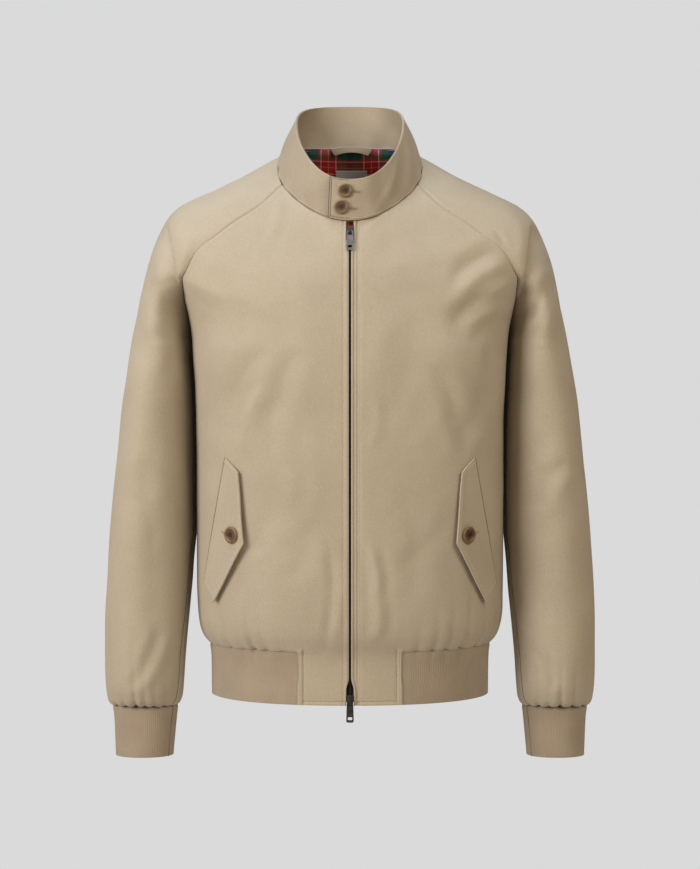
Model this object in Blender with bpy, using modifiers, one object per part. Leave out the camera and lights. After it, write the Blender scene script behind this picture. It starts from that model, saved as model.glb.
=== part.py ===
"""A harrington jacket in its worn, hollow shape: a short zipped blouson with raglan sleeves, a
buttoned stand collar, slanted flap pockets, and ribbed cuffs and waistband.

The jacket is in metres, +Z up, its front facing -Y, so the wearer's left is +X. The origin is the
middle of the neck's base, level with the wearer's shoulder line.

Every panel is a grid of rows and columns on one loft. A row is a cubic curve seen from above: it
runs from the middle of the front or back to a seam, and on a sleeve from a seam over the shoulder
ridge to the other seam. The rows are listed in short tables, and smooth curves through the tables'
columns give the rows between them.
"""
import math

import bmesh
import bpy
import numpy as np
from mathutils import Matrix, Vector

OBJECT_NAME = "harrington_jacket"

# Cloth and gaps
SHELL = 0.0016            # shell cloth with its backing
RIB = 0.0024              # ribbed knit, doubled
COLLAR_CLOTH = 0.0024     # two layers and interlining
FLAP_CLOTH = 0.0022       # two layers and interlining
LINING_CLOTH = 0.0010
SEAM_GAP = 0.0004         # between two cut pieces at their seam

# Lengths and heights
SEAM_LENGTH = 0.307       # raglan seam, neck to underarm
UNDERARM_Z = -0.216
WAIST_SEAM_Z = -0.5815
HEM_Z = -0.642
CUFF_SEAM_Z = -0.6565
CUFF_END_Z = -0.7175
UNDERARM = SEAM_LENGTH
WAIST_SEAM = UNDERARM + UNDERARM_Z - WAIST_SEAM_Z
HEM = UNDERARM + UNDERARM_Z - HEM_Z
CUFF_SEAM = UNDERARM + UNDERARM_Z - CUFF_SEAM_Z

# Zip and its opening
OPENING = 0.0021          # from the middle to each front edge
OPENING_AT_SLIDERS = 0.0044
TOP_OPENING_DOWN = (0.046, 0.030)    # where the wider opening at the top slider ends, and how slowly
HEM_OPENING_UP = (0.032, 0.014)      # where the wider opening at the hem starts, and how slowly
BLOCK_EDGE_X = 0.0606     # where the cloth blocks of the hem meet the rib
BLOCK_GAP = 0.0006
CHAIN_WIDTH = 0.0052
CHAIN_DEPTH = 0.0020
CHAIN_BEHIND = 0.0004     # from the fronts' inner face
TAPE_WIDTH = 0.011
TAPE_DEPTH = 0.0008
TAPE_BEHIND = 0.0007
TAPE_TOP_Z = -0.0810
TAPE_END_Z = -0.6410

# Collar
RIM_HALF_WIDTH = 0.0655
RIM_FRONT = (-0.0985, -0.0286)   # y, z
RIM_SIDE_Z = 0.0535
RIM_BACK = (0.0760, 0.0815)      # y, z
RIM_SQUARENESS = 2.25
COLLAR_BULGE = 0.0012
COLLAR_OVER_X = 0.0245    # how far the buttoned end passes the middle
COLLAR_UNDER_X = 0.0120
COLLAR_STEP = 0.0029      # from the under layer to the over layer

# Buttons
BUTTON_THICKNESS = 0.0034
COLLAR_BUTTON_RADIUS = 0.0088
POCKET_BUTTON_RADIUS = 0.0102
BUTTON_HOLE_RADIUS = 0.0009
BUTTON_HOLE_SPREAD = 0.0017

COLOURS = {
    "cloth": (0.42, 0.34, 0.23, 1.0),
    "rib": (0.33, 0.26, 0.18, 1.0),
    "lining": (0.42, 0.03, 0.03, 1.0),
    "label": (0.30, 0.30, 0.30, 1.0),
    "tape": (0.05, 0.03, 0.02, 1.0),
    "metal": (0.35, 0.34, 0.33, 1.0),
    "horn": (0.05, 0.03, 0.02, 1.0),
}


def table(names, *rows):
    """A table with named columns: one array for each name, one entry for each row."""
    return dict(zip(names.split(), np.array(rows, dtype=float).T))


# Raglan rows, from the neck (0) to the underarm (1). The ridge is the shoulder line and then the
# sleeve's outer side. Slope is the row's rise from front to back where it crosses the ridge.
RIDGE = table(
    "share  x       z        slope",
    (0.00, 0.0880, 0.0034, 0.62),
    (0.15, 0.1303, -0.0148, 0.20),
    (0.31, 0.1735, -0.0349, 0.10),
    (0.42, 0.2030, -0.0492, 0.07),
    (0.50, 0.2213, -0.0643, 0.12),
    (0.575, 0.2350, -0.0905, 0.28),
    (0.63, 0.2405, -0.1060, 0.38),
    (0.75, 0.2515, -0.1450, 0.30),
    (0.88, 0.2583, -0.1810, 0.14),
    (1.00, 0.2645, UNDERARM_Z, 0.00),
)
# The same rows on the front: the middle, the raglan seam, the directions in which the panel reaches
# the seam and the sleeve leaves it (degrees, 0 outwards, 90 towards the side seam), and how far each
# of the sleeve's curves keeps its direction.
FRONT_ROWS = table(
    "middle_y middle_z seam_x seam_y panel_turn sleeve_turn seam_pull ridge_pull",
    (-0.1050, -0.0780, 0.0815, -0.0470, 64, 66, 0.015, 0.016),
    (-0.1140, -0.1000, 0.1053, -0.0720, 36, 38, 0.022, 0.040),
    (-0.1220, -0.1240, 0.1410, -0.0840, 26, 24, 0.027, 0.052),
    (-0.1270, -0.1420, 0.1660, -0.0920, 27, 18, 0.028, 0.060),
    (-0.1300, -0.1570, 0.1820, -0.0920, 34, 8, 0.030, 0.066),
    (-0.1325, -0.1720, 0.1930, -0.0880, 48, -8, 0.030, 0.075),
    (-0.1345, -0.1820, 0.1985, -0.0800, 62, -28, 0.032, 0.082),
    (-0.1375, -0.1990, 0.1985, -0.0540, 78, -58, 0.050, 0.088),
    (-0.1395, -0.2165, 0.1955, -0.0260, 86, -76, 0.086, 0.099),
    (-0.1405, -0.2335, 0.1915, 0.0000, 90, -86, 0.116, 0.104),
)
BACK_ROWS = table(
    "middle_y middle_z seam_x seam_y panel_turn sleeve_turn seam_pull ridge_pull",
    (0.0650, 0.0260, 0.0700, 0.0420, 55, 57, 0.015, 0.014),
    (0.0860, 0.0020, 0.1060, 0.0700, 40, 38, 0.022, 0.036),
    (0.1040, -0.0320, 0.1400, 0.0860, 30, 26, 0.027, 0.048),
    (0.1130, -0.0600, 0.1630, 0.0930, 30, 20, 0.028, 0.056),
    (0.1190, -0.0850, 0.1780, 0.0940, 36, 10, 0.030, 0.064),
    (0.1240, -0.1120, 0.1890, 0.0900, 50, -8, 0.030, 0.072),
    (0.1270, -0.1340, 0.1940, 0.0820, 62, -28, 0.032, 0.080),
    (0.1315, -0.1720, 0.1955, 0.0550, 78, -58, 0.050, 0.086),
    (0.1345, -0.2030, 0.1935, 0.0270, 86, -76, 0.084, 0.097),
    (0.1360, -0.2200, 0.1915, 0.0000, 90, -86, 0.112, 0.101),
)
# Rows of the body below the underarm, down to the hem.
BODY_ROWS = table(
    "z side_x front_y front_z back_y",
    (-0.2480, 0.1893, -0.1415, -0.2500, 0.1365),
    (-0.2800, 0.1875, -0.1420, -0.2800, 0.1365),
    (-0.3300, 0.1866, -0.1420, -0.3300, 0.1340),
    (-0.3900, 0.1866, -0.1410, -0.3900, 0.1300),
    (-0.4500, 0.1866, -0.1400, -0.4500, 0.1275),
    (-0.5100, 0.1862, -0.1390, -0.5100, 0.1265),
    (-0.5450, 0.1846, -0.1375, -0.5455, 0.1255),
    (-0.5620, 0.1818, -0.1350, -0.5630, 0.1235),
    (-0.5720, 0.1777, -0.1310, -0.5735, 0.1200),
    (WAIST_SEAM_Z, 0.1705, -0.1245, -0.5840, 0.1165),
    (-0.6000, 0.1685, -0.1210, -0.6030, 0.1150),
    (HEM_Z, 0.1680, -0.1195, -0.6450, 0.1145),
)
# How square a row's corner is, by the place down the body: 0 would be a straight line and 1 a right
# angle.
SQUARENESS = table(
    "down   share",
    (0.000, 0.60),
    (0.160, 0.60),
    (0.200, 0.62),
    (0.230, 0.65),
    (0.270, 0.72),
    (UNDERARM, 0.80),
    (0.339, 0.80),
    (0.371, 0.78),
    (0.420, 0.73),
    (0.480, 0.68),
    (0.540, 0.65),
    (0.600, 0.63),
    (HEM, 0.63),
)
# Rings of the sleeve below the underarm, down to the cuff.
SLEEVE_RINGS = table(
    "z inner_x inner_y outer_x front_y back_y",
    (-0.2480, 0.1906, 0.0080, 0.2695, -0.0830, 0.0800),
    (-0.3000, 0.1882, 0.0150, 0.2772, -0.0820, 0.0790),
    (-0.3500, 0.1874, 0.0180, 0.2825, -0.0800, 0.0760),
    (-0.4000, 0.1872, 0.0180, 0.2880, -0.0770, 0.0720),
    (-0.4400, 0.1878, 0.0170, 0.2915, -0.0745, 0.0685),
    (-0.4820, 0.1912, 0.0110, 0.2942, -0.0720, 0.0650),
    (-0.5200, 0.1938, 0.0040, 0.2968, -0.0700, 0.0610),
    (-0.5600, 0.1972, -0.0010, 0.2977, -0.0680, 0.0580),
    (-0.6000, 0.2004, -0.0050, 0.2977, -0.0660, 0.0550),
    (-0.6300, 0.2022, -0.0060, 0.2968, -0.0640, 0.0510),
    (-0.6460, 0.2038, -0.0060, 0.2955, -0.0590, 0.0460),
    (CUFF_SEAM_Z, 0.2082, -0.0060, 0.2905, -0.0480, 0.0360),
)
CUFF_RINGS = table(
    "z inner_x outer_x front_y back_y",
    (CUFF_SEAM_Z, 0.2094, 0.2884, -0.0430, 0.0320),
    (-0.6700, 0.2106, 0.2868, -0.0415, 0.0310),
    (-0.6950, 0.2130, 0.2856, -0.0405, 0.0300),
    (CUFF_END_Z, 0.2150, 0.2848, -0.0395, 0.0295),
)

# Folds of the worn cloth, seen from the front: each runs along a line from one end to the other. A
# negative depth is a trough and a positive one a ridge.
FOLD_NAMES = "x z end_x end_z width depth"
RIGHT_FRONT_FOLDS = table(
    FOLD_NAMES,
    (-0.140, -0.300, -0.103, -0.232, 0.012, -0.0035),
    (-0.130, -0.349, -0.103, -0.282, 0.010, 0.0030),
    (-0.092, -0.355, -0.079, -0.277, 0.011, -0.0035),
    (-0.079, -0.277, -0.062, -0.235, 0.011, -0.0030),
    (-0.098, -0.423, -0.115, -0.467, 0.011, -0.0030),
    (-0.026, -0.453, -0.028, -0.570, 0.006, -0.0030),
    (-0.045, -0.437, -0.068, -0.496, 0.012, -0.0025),
)
LEFT_FRONT_FOLDS = table(
    FOLD_NAMES,
    (0.123, -0.144, 0.167, -0.114, 0.010, -0.0040),
    (0.126, -0.165, 0.179, -0.130, 0.009, 0.0040),
    (0.120, -0.200, 0.161, -0.167, 0.010, -0.0040),
    (0.137, -0.202, 0.184, -0.177, 0.009, 0.0030),
    (0.102, -0.253, 0.123, -0.306, 0.010, -0.0040),
    (0.123, -0.306, 0.135, -0.349, 0.010, -0.0035),
    (0.179, -0.253, 0.147, -0.341, 0.009, 0.0030),
    (0.024, -0.465, 0.032, -0.517, 0.007, 0.0035),
    (0.032, -0.517, 0.031, -0.564, 0.007, 0.0035),
    (0.065, -0.400, 0.073, -0.517, 0.014, -0.0030),
)
BACK_FOLDS = table(
    FOLD_NAMES,
    (-0.120, -0.210, -0.060, -0.290, 0.014, -0.0030),
    (-0.150, -0.330, -0.100, -0.450, 0.014, -0.0030),
    (0.135, -0.230, 0.070, -0.300, 0.014, -0.0030),
    (0.145, -0.360, 0.095, -0.490, 0.014, -0.0030),
    (-0.020, -0.420, -0.030, -0.540, 0.012, -0.0025),
    (0.035, -0.450, 0.030, -0.550, 0.012, 0.0025),
)
RIGHT_SLEEVE_FOLDS = table(
    FOLD_NAMES,
    (-0.222, -0.085, -0.209, -0.145, 0.010, -0.0100),
    (-0.227, -0.152, -0.211, -0.201, 0.012, -0.0080),
    (-0.211, -0.201, -0.202, -0.247, 0.012, -0.0080),
    (-0.249, -0.362, -0.244, -0.407, 0.011, -0.0050),
    (-0.244, -0.407, -0.232, -0.460, 0.011, -0.0050),
    (-0.226, -0.319, -0.213, -0.397, 0.012, 0.0040),
    (-0.215, -0.558, -0.249, -0.630, 0.008, 0.0050),
    (-0.228, -0.566, -0.257, -0.627, 0.007, -0.0060),
)
LEFT_SLEEVE_FOLDS = table(
    FOLD_NAMES,
    (0.222, -0.085, 0.207, -0.160, 0.010, -0.0110),
    (0.231, -0.150, 0.209, -0.190, 0.009, -0.0080),
    (0.228, -0.169, 0.218, -0.251, 0.013, 0.0060),
    (0.218, -0.251, 0.207, -0.345, 0.013, 0.0040),
    (0.256, -0.362, 0.234, -0.378, 0.009, -0.0060),
    (0.234, -0.378, 0.218, -0.417, 0.009, -0.0060),
    (0.233, -0.594, 0.242, -0.630, 0.008, -0.0050),
)

# Gathers at the ribs. Share is the place along the row, from the middle of the body, or from the
# sleeve's inner side, to the side seam or to the sleeve's outer side. Height is how far a gather
# runs up from the rib.
GATHER_NAMES = "share depth height"
RIGHT_FRONT_GATHERS = table(
    GATHER_NAMES,
    (0.27, 0.0012, 0.014), (0.36, 0.0022, 0.020), (0.43, 0.0034, 0.026), (0.50, 0.0016, 0.016),
    (0.60, 0.0024, 0.022), (0.73, 0.0018, 0.020), (0.86, 0.0026, 0.024),
)
LEFT_FRONT_GATHERS = table(
    GATHER_NAMES,
    (0.27, 0.0014, 0.014), (0.35, 0.0022, 0.018), (0.43, 0.0024, 0.022), (0.53, 0.0034, 0.030),
    (0.66, 0.0020, 0.022), (0.78, 0.0024, 0.024), (0.89, 0.0022, 0.022),
)
BACK_GATHERS = table(
    GATHER_NAMES,
    (0.10, 0.0022, 0.022), (0.23, 0.0030, 0.028), (0.35, 0.0020, 0.018), (0.47, 0.0032, 0.030),
    (0.60, 0.0022, 0.020), (0.73, 0.0028, 0.026), (0.87, 0.0024, 0.022),
)
RIGHT_CUFF_GATHERS = table(
    GATHER_NAMES,
    (0.27, 0.0020, 0.020), (0.38, 0.0016, 0.016), (0.47, 0.0022, 0.022), (0.56, 0.0034, 0.034),
    (0.67, 0.0022, 0.020), (0.79, 0.0026, 0.018),
)
LEFT_CUFF_GATHERS = table(
    GATHER_NAMES,
    (0.20, 0.0016, 0.016), (0.30, 0.0028, 0.022), (0.41, 0.0016, 0.016), (0.52, 0.0034, 0.036),
    (0.65, 0.0026, 0.024), (0.79, 0.0024, 0.022),
)
BACK_CUFF_GATHERS = table(
    GATHER_NAMES,
    (0.22, 0.0022, 0.020), (0.36, 0.0026, 0.026), (0.50, 0.0030, 0.028), (0.64, 0.0022, 0.020),
    (0.79, 0.0024, 0.022),
)

# Pocket flap, on the wearer's left: a long slanted side sewn to the front, and three free sides.
FLAP_SEWN = ((0.1450, -0.3560), (0.1725, -0.5060))            # x, z of its two ends
FLAP_FREE = ((0.1290, -0.3720), (0.1225, -0.4545), (0.1570, -0.5260))
FLAP_BEND_SHARE = 0.5
FLAP_CLEAR = 0.0006
FLAP_LIFT = 0.0035
FLAP_BUTTON = (0.1385, -0.4490)

# Where the collar's buttons sit: the way from the middle, and the share of the collar's height.
COLLAR_BUTTONS = (("collar_button_top", -0.0053, 0.70), ("collar_button_bottom", -0.0094, 0.30))

# Zip sliders and their pull tabs
SLIDER_WIDTH = 0.0076
SLIDER_LENGTH = 0.0130
SLIDER_FRONT = (-0.0013, 0.0010)  # the front plate's faces, measured inwards from the cloth's outer face
SLIDER_BACK = (0.0046, 0.0058)
SLIDER_CORE = (0.0024, 0.0036)    # width, length
BRIDGE_WIDTH = 0.0018
BRIDGE_POST_WIDTH = 0.0013
BRIDGE_LENGTH = 0.0072
BRIDGE_BAR = 0.0011
BRIDGE_OPENING = 0.0021
SLIDER_OVERLAP = 0.0003           # how far the slider's pieces reach into each other
TAB_LENGTH = 0.0250
TAB_TOP_WIDTH = 0.0076
TAB_END_WIDTH = 0.0088
TAB_THICKNESS = 0.0012
TAB_CORNER = 0.0022
TAB_WINDOW = (0.0044, 0.0053)     # width, end of the window below the hinge
TAB_WINDOW_CORNER = 0.0005
TAB_SLOT = (0.0052, 0.0034)       # width, height
TAB_SLOT_CORNER = 0.0012
TAB_SLOT_UP = 0.0046              # the slot's middle above the tab's end
TOP_SLIDER_Z = -0.0910
BOTTOM_SLIDER_Z = -0.6392
HINGE_DROP = 0.0008               # from the slider's middle to the tab's hinge

# Hanger loop and label
LOOP_ENDS_X = (-0.0237, 0.0274)
LOOP_WIDTH = 0.0076
LOOP_CLOTH = 0.0014
LOOP_CLEAR = 0.0006
LOOP_STAND = 0.0036
LOOP_DROP = 0.0020
LABEL_X = (-0.0180, 0.0215)
LABEL_Z = (-0.0040, -0.0300)
LABEL_CLOTH = 0.0009
LABEL_CLEAR = 0.0006
LINING_CLEAR = 0.0012
LINING_TOP = 0.004                # the lining's top edge below the neck seam


def smooth(knots, values, places):
    """A smooth curve through the values at the knots that never overshoots them: a monotone cubic."""
    step = np.diff(knots)
    slope = np.diff(values) / step
    before, after = slope[:-1], slope[1:]
    weight_before = 2 * step[1:] + step[:-1]
    weight_after = step[1:] + 2 * step[:-1]
    same_way = before * after > 0
    safe_before = np.where(same_way, before, 1.0)
    safe_after = np.where(same_way, after, 1.0)
    mean = (weight_before + weight_after) / (weight_before / safe_before + weight_after / safe_after)
    tangent = np.concatenate((slope[:1], np.where(same_way, mean, 0.0), slope[-1:]))
    index = np.clip(np.searchsorted(knots, places, side="right") - 1, 0, len(step) - 1)
    width = step[index]
    share = (places - knots[index]) / width
    start, end = values[index], values[index + 1]
    bend = (3 * share**2 - 2 * share**3) * (end - start)
    lead = (share**3 - 2 * share**2 + share) * width * tangent[index]
    trail = (share**3 - share**2) * width * tangent[index + 1]
    return start + bend + lead + trail


def soft(knots, values, places):
    """The smooth curve evened out: each value is a weighted mean of its neighbours on both sides."""
    reach = np.minimum(np.minimum(places - knots[0], knots[-1] - places), EVEN_REACH)
    total = np.zeros(np.shape(places))
    for step, weight in EVEN_WEIGHTS:
        total = total + weight * smooth(knots, values, places + step * reach)
    return total


def cubic(start, start_control, end_control, end, share):
    """Points of a cubic curve, one row for each entry of its ends and one column for each share."""
    rest = 1 - share
    return (
        start[:, None] * rest**3
        + 3 * start_control[:, None] * rest**2 * share
        + 3 * end_control[:, None] * rest * share**2
        + end[:, None] * share**3
    )


def ease(value):
    """Rises smoothly from 0 to 1 as the value does."""
    share = np.clip(value, 0.0, 1.0)
    return share * share * (3 - 2 * share)


CUBIC_REACH = 0.75        # how far a cubic curve's middle goes towards two equal control points
FOLD_START_Y = 0.05       # folds reach their full depth this far from the jacket's middle plane
EVEN_REACH = 0.014
EVEN_WEIGHTS = ((-1, 1 / 16), (-0.5, 4 / 16), (0, 6 / 16), (0.5, 4 / 16), (1, 1 / 16))
RAGLAN_KNOTS = RIDGE["share"] * SEAM_LENGTH
BODY_KNOTS = np.concatenate((RAGLAN_KNOTS, UNDERARM + UNDERARM_Z - BODY_ROWS["z"]))
SLEEVE_KNOTS = np.concatenate((RAGLAN_KNOTS, UNDERARM + UNDERARM_Z - SLEEVE_RINGS["z"]))


def body_column(upper, lower, down):
    """Values at places down the body, from the raglan rows and then the body rows."""
    return soft(BODY_KNOTS, np.concatenate((upper, lower)), down)


def sleeve_column(upper, lower, down):
    """Values at places down the sleeve, from the raglan rows and then the sleeve's rings."""
    return soft(SLEEVE_KNOTS, np.concatenate((upper, lower)), down)


def row_height(y, side_z, slope, middle_y, middle_z):
    """Height along a row: it crosses the ridge at side_z with its slope and bends to its middle."""
    bend = (middle_z - side_z - slope * middle_y) / middle_y**2
    return side_z[:, None] + slope[:, None] * y + bend[:, None] * y**2


def seam(rows, down):
    """The raglan seam seen from above, then the side seam."""
    x = smooth(BODY_KNOTS, np.concatenate((rows["seam_x"], BODY_ROWS["side_x"])), down)
    y = smooth(BODY_KNOTS, np.concatenate((rows["seam_y"], 0 * BODY_ROWS["z"])), down)
    return x, y


def opening_edge(down):
    """How far a front edge stays from the middle: it is wider around both sliders."""
    at_top = 1 - ease((down - TOP_OPENING_DOWN[0]) / TOP_OPENING_DOWN[1])
    at_hem = ease((down - HEM + HEM_OPENING_UP[0]) / HEM_OPENING_UP[1])
    return OPENING + (OPENING_AT_SLIDERS - OPENING) * (at_top + at_hem)


def part_direction(rows, down):
    """The way, seen from above, in which the panel and the sleeve are parted at their seam."""
    turn = np.interp(down, RAGLAN_KNOTS, (rows["panel_turn"] + rows["sleeve_turn"]) / 2)
    turn = np.radians(turn)
    raglan = down <= UNDERARM + 1e-9
    forward = -np.sign(rows["middle_y"][0])
    return np.cos(turn) * raglan, np.sin(turn) * raglan * forward


def panel_grid(rows, down, share, middle_x):
    """Points of the front or back on the wearer's left, from the middle to the seam, row by row."""
    back = rows is BACK_ROWS
    lower_y = BODY_ROWS["back_y"] if back else BODY_ROWS["front_y"]
    lower_z = BODY_ROWS["z"] if back else BODY_ROWS["front_z"]
    middle_y = body_column(rows["middle_y"], lower_y, down)
    middle_z = body_column(rows["middle_z"], lower_z, down)
    side_z = body_column(RIDGE["z"], BODY_ROWS["z"], down)
    slope = body_column(RIDGE["slope"], 0 * BODY_ROWS["z"], down)
    turn = np.radians(body_column(rows["panel_turn"], 90 + 0 * BODY_ROWS["z"], down))
    squareness = soft(SQUARENESS["down"], SQUARENESS["share"], down)
    seam_x, seam_y = seam(rows, down)
    corner_x = seam_x - np.abs(middle_y - seam_y) / np.tan(turn)
    first_x = middle_x + squareness * (corner_x - middle_x)
    last_x = seam_x + squareness * (corner_x - seam_x)
    last_y = seam_y + squareness * (middle_y - seam_y)
    x = cubic(middle_x, first_x, last_x, seam_x, share)
    y = cubic(middle_y, middle_y, last_y, seam_y, share)
    z = row_height(y, side_z, slope, middle_y, middle_z)
    return np.stack((x, y, z), axis=-1)


def sleeve_half(rows, down, share, ring_y):
    """Points of half a sleeve, from its seam or inner side to the shoulder ridge or outer side."""
    front = rows is FRONT_ROWS
    outer_y = (SLEEVE_RINGS["front_y"] + SLEEVE_RINGS["back_y"]) / 2
    middle = (outer_y + SLEEVE_RINGS["inner_y"]) / 2
    pull = np.abs(SLEEVE_RINGS[ring_y] - middle) / CUBIC_REACH
    seam_x = smooth(SLEEVE_KNOTS, np.concatenate((rows["seam_x"], SLEEVE_RINGS["inner_x"])), down)
    seam_y = smooth(SLEEVE_KNOTS, np.concatenate((rows["seam_y"], SLEEVE_RINGS["inner_y"])), down)
    raglan = down <= UNDERARM + 1e-9
    panel_x, panel_y = seam(rows, down)
    seam_x = np.where(raglan, panel_x, seam_x)
    seam_y = np.where(raglan, panel_y, seam_y)
    part_x, part_y = part_direction(rows, down)
    seam_x = seam_x + part_x * SEAM_GAP / 2
    seam_y = seam_y + part_y * SEAM_GAP / 2
    ridge_x = sleeve_column(RIDGE["x"], SLEEVE_RINGS["outer_x"], down)
    ridge_y = sleeve_column(0 * RIDGE["x"], outer_y, down)
    turn = np.radians(sleeve_column(rows["sleeve_turn"], -90 + 0 * pull, down))
    seam_pull = sleeve_column(rows["seam_pull"], pull, down)
    ridge_pull = sleeve_column(rows["ridge_pull"], pull, down)
    outwards = 1 if front else -1
    x = cubic(seam_x, seam_x + seam_pull * np.cos(turn), ridge_x, ridge_x, share)
    y = cubic(
        seam_y,
        seam_y + outwards * seam_pull * np.sin(turn),
        ridge_y - outwards * ridge_pull,
        ridge_y,
        share,
    )
    side_z = sleeve_column(RIDGE["z"], SLEEVE_RINGS["z"], down)
    slope = sleeve_column(RIDGE["slope"], 0 * pull, down)
    middle_y = sleeve_column(rows["middle_y"], np.full_like(pull, rows["middle_y"][-1]), down)
    middle_z = sleeve_column(rows["middle_z"], SLEEVE_RINGS["z"], down)
    z = row_height(y, side_z, slope, middle_y, middle_z)
    return np.stack((x, y, z), axis=-1)


def normals(grid):
    """Unit normals of a grid of points, from its neighbours along the rows and the columns."""
    across = np.gradient(grid, axis=1)
    along = np.gradient(grid, axis=0)
    normal = np.cross(along, across)
    return normal / np.linalg.norm(normal, axis=-1, keepdims=True)


def fold_depth(folds, x, z):
    """Sum of soft folds: each is a bell curve of the distance to its line."""
    total = np.zeros_like(x)
    for ax, az, bx, bz, width, depth in zip(*folds.values()):
        length_squared = (bx - ax) ** 2 + (bz - az) ** 2
        share = np.clip(((x - ax) * (bx - ax) + (z - az) * (bz - az)) / length_squared, 0, 1)
        distance = np.hypot(x - ax - share * (bx - ax), z - az - share * (bz - az))
        total += depth * np.exp(-((distance / width) ** 2))
    return total


def gather_depth(gathers, share, height, spread):
    """Dents of the gathers above a rib: each is narrow, deepest at the seam, and fades upwards."""
    total = np.zeros(np.broadcast(share, height).shape)
    for place, depth, reach in zip(*gathers.values()):
        across = np.exp(-(((share - place) / spread) ** 2))
        total -= depth * across * np.exp(-np.maximum(height, 0) / reach)
    return total


def gather_columns(gathers, ends):
    """Column places: one at each gather, one half way to the next, and the ends."""
    places = gathers["share"]
    between = (places[1:] + places[:-1]) / 2
    return np.unique(np.round(np.concatenate((ends, places, between)), 4))


def trim_row(grid, row, neighbour, gap):
    """Moves one end row of a grid towards its neighbour, for the gap at a seam."""
    step = grid[neighbour] - grid[row]
    length = np.linalg.norm(step, axis=-1, keepdims=True)
    grid[row] += step / length * gap
    return grid


def material(name, roughness, metallic=0.0):
    """A Principled material in one of the jacket's colours."""
    found = bpy.data.materials.get(name)
    if found:
        return found
    made = bpy.data.materials.new(name)
    made.use_nodes = True
    shader = made.node_tree.nodes["Principled BSDF"]
    shader.inputs["Base Color"].default_value = COLOURS[name]
    shader.inputs["Roughness"].default_value = roughness
    shader.inputs["Metallic"].default_value = metallic
    return made


def clear_scene():
    """Removes every object that is in the file."""
    for found in list(bpy.data.objects):
        bpy.data.objects.remove(found, do_unlink=True)


def new_collection(name):
    """A collection in the scene, by name."""
    made = bpy.data.collections.new(name)
    bpy.context.scene.collection.children.link(made)
    return made


def add_object(name, mesh, finish, smooth_angle=None):
    """Puts a mesh in the jacket's collection as a named object."""
    made = bpy.data.objects.new(name, mesh)
    bpy.data.collections[OBJECT_NAME].objects.link(made)
    mesh.materials.clear()
    mesh.materials.append(finish)
    if smooth_angle is not None:
        mesh.shade_smooth()
        mesh.set_sharp_from_angle(angle=math.radians(smooth_angle))
    return made


def sheet_mesh(name, grid, kept=None, welded=False):
    """An open mesh through a grid of points: a quad for each kept cell."""
    rows, columns = grid.shape[:2]
    number = np.arange(rows * columns).reshape(rows, columns)
    cells = np.stack(
        (number[:-1, :-1], number[1:, :-1], number[1:, 1:], number[:-1, 1:]), axis=-1
    )
    kept = np.ones(cells.shape[:2], dtype=bool) if kept is None else kept
    mesh = bpy.data.meshes.new(name)
    mesh.from_pydata(grid.reshape(-1, 3).tolist(), [], cells[kept].tolist())
    shape = bmesh.new()
    shape.from_mesh(mesh)
    if welded:
        bmesh.ops.remove_doubles(shape, verts=shape.verts, dist=1e-6)
    loose = [vertex for vertex in shape.verts if not vertex.link_faces]
    bmesh.ops.delete(shape, geom=loose, context="VERTS")
    shape.to_mesh(mesh)
    shape.free()
    return mesh


def cloth_piece(name, grid, thickness, finish, kept=None, welded=False, outwards=False):
    """A cloth wall: an open grid given its thickness by Solidify, on its inner side unless outwards."""
    made = add_object(name, sheet_mesh(name, grid, kept, welded), finish, smooth_angle=50)
    wall = made.modifiers.new("thickness", "SOLIDIFY")
    wall.thickness = thickness
    wall.offset = 1.0 if outwards else -1.0
    return made


def mirrored(grid):
    """The same grid on the wearer's right, with its columns reversed so that it still faces out."""
    return (grid * (-1, 1, 1))[:, ::-1]


# Places down the pieces, measured along the raglan and side seams. Both sides of a seam share them.
RAGLAN_DOWN = SEAM_LENGTH * np.array(
    (0, 0.09, 0.18, 0.27, 0.36, 0.45, 0.53, 0.60, 0.68, 0.77, 0.88, 1)
)
SIDE_DOWN = UNDERARM + UNDERARM_Z + np.array(
    (0.250, 0.300, 0.350, 0.405, 0.455, 0.505, 0.540, 0.558, 0.571)
)
CUFF_DOWN = UNDERARM + UNDERARM_Z + np.array(
    (0.250, 0.295, 0.345, 0.395, 0.440, 0.485, 0.530, 0.575, 0.612, 0.634, 0.646)
)
BODY_DOWN = np.concatenate((RAGLAN_DOWN, SIDE_DOWN, (WAIST_SEAM,)))
HEM_DOWN = np.array((WAIST_SEAM + 0.018, WAIST_SEAM + 0.038, HEM))
SLEEVE_DOWN = np.concatenate((RAGLAN_DOWN, CUFF_DOWN, (CUFF_SEAM,)))
GATHER_SPREAD = 0.030     # share of a body row that a gather takes
CUFF_GATHER_SPREAD = 0.045
ZIP_COLUMNS = (0, 0.042, 0.075, 0.14)
BESIDE_SEAM = 0.975       # a last column close to the side seam keeps the wall square to it


def block_share():
    """The share of the waist row at which the cloth block meets the rib."""
    share = np.linspace(0, 1, 400)
    row = panel_grid(FRONT_ROWS, np.array((WAIST_SEAM,)), share, np.array((OPENING,)))
    return float(np.interp(BLOCK_EDGE_X, row[0, :, 0], share))


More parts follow.
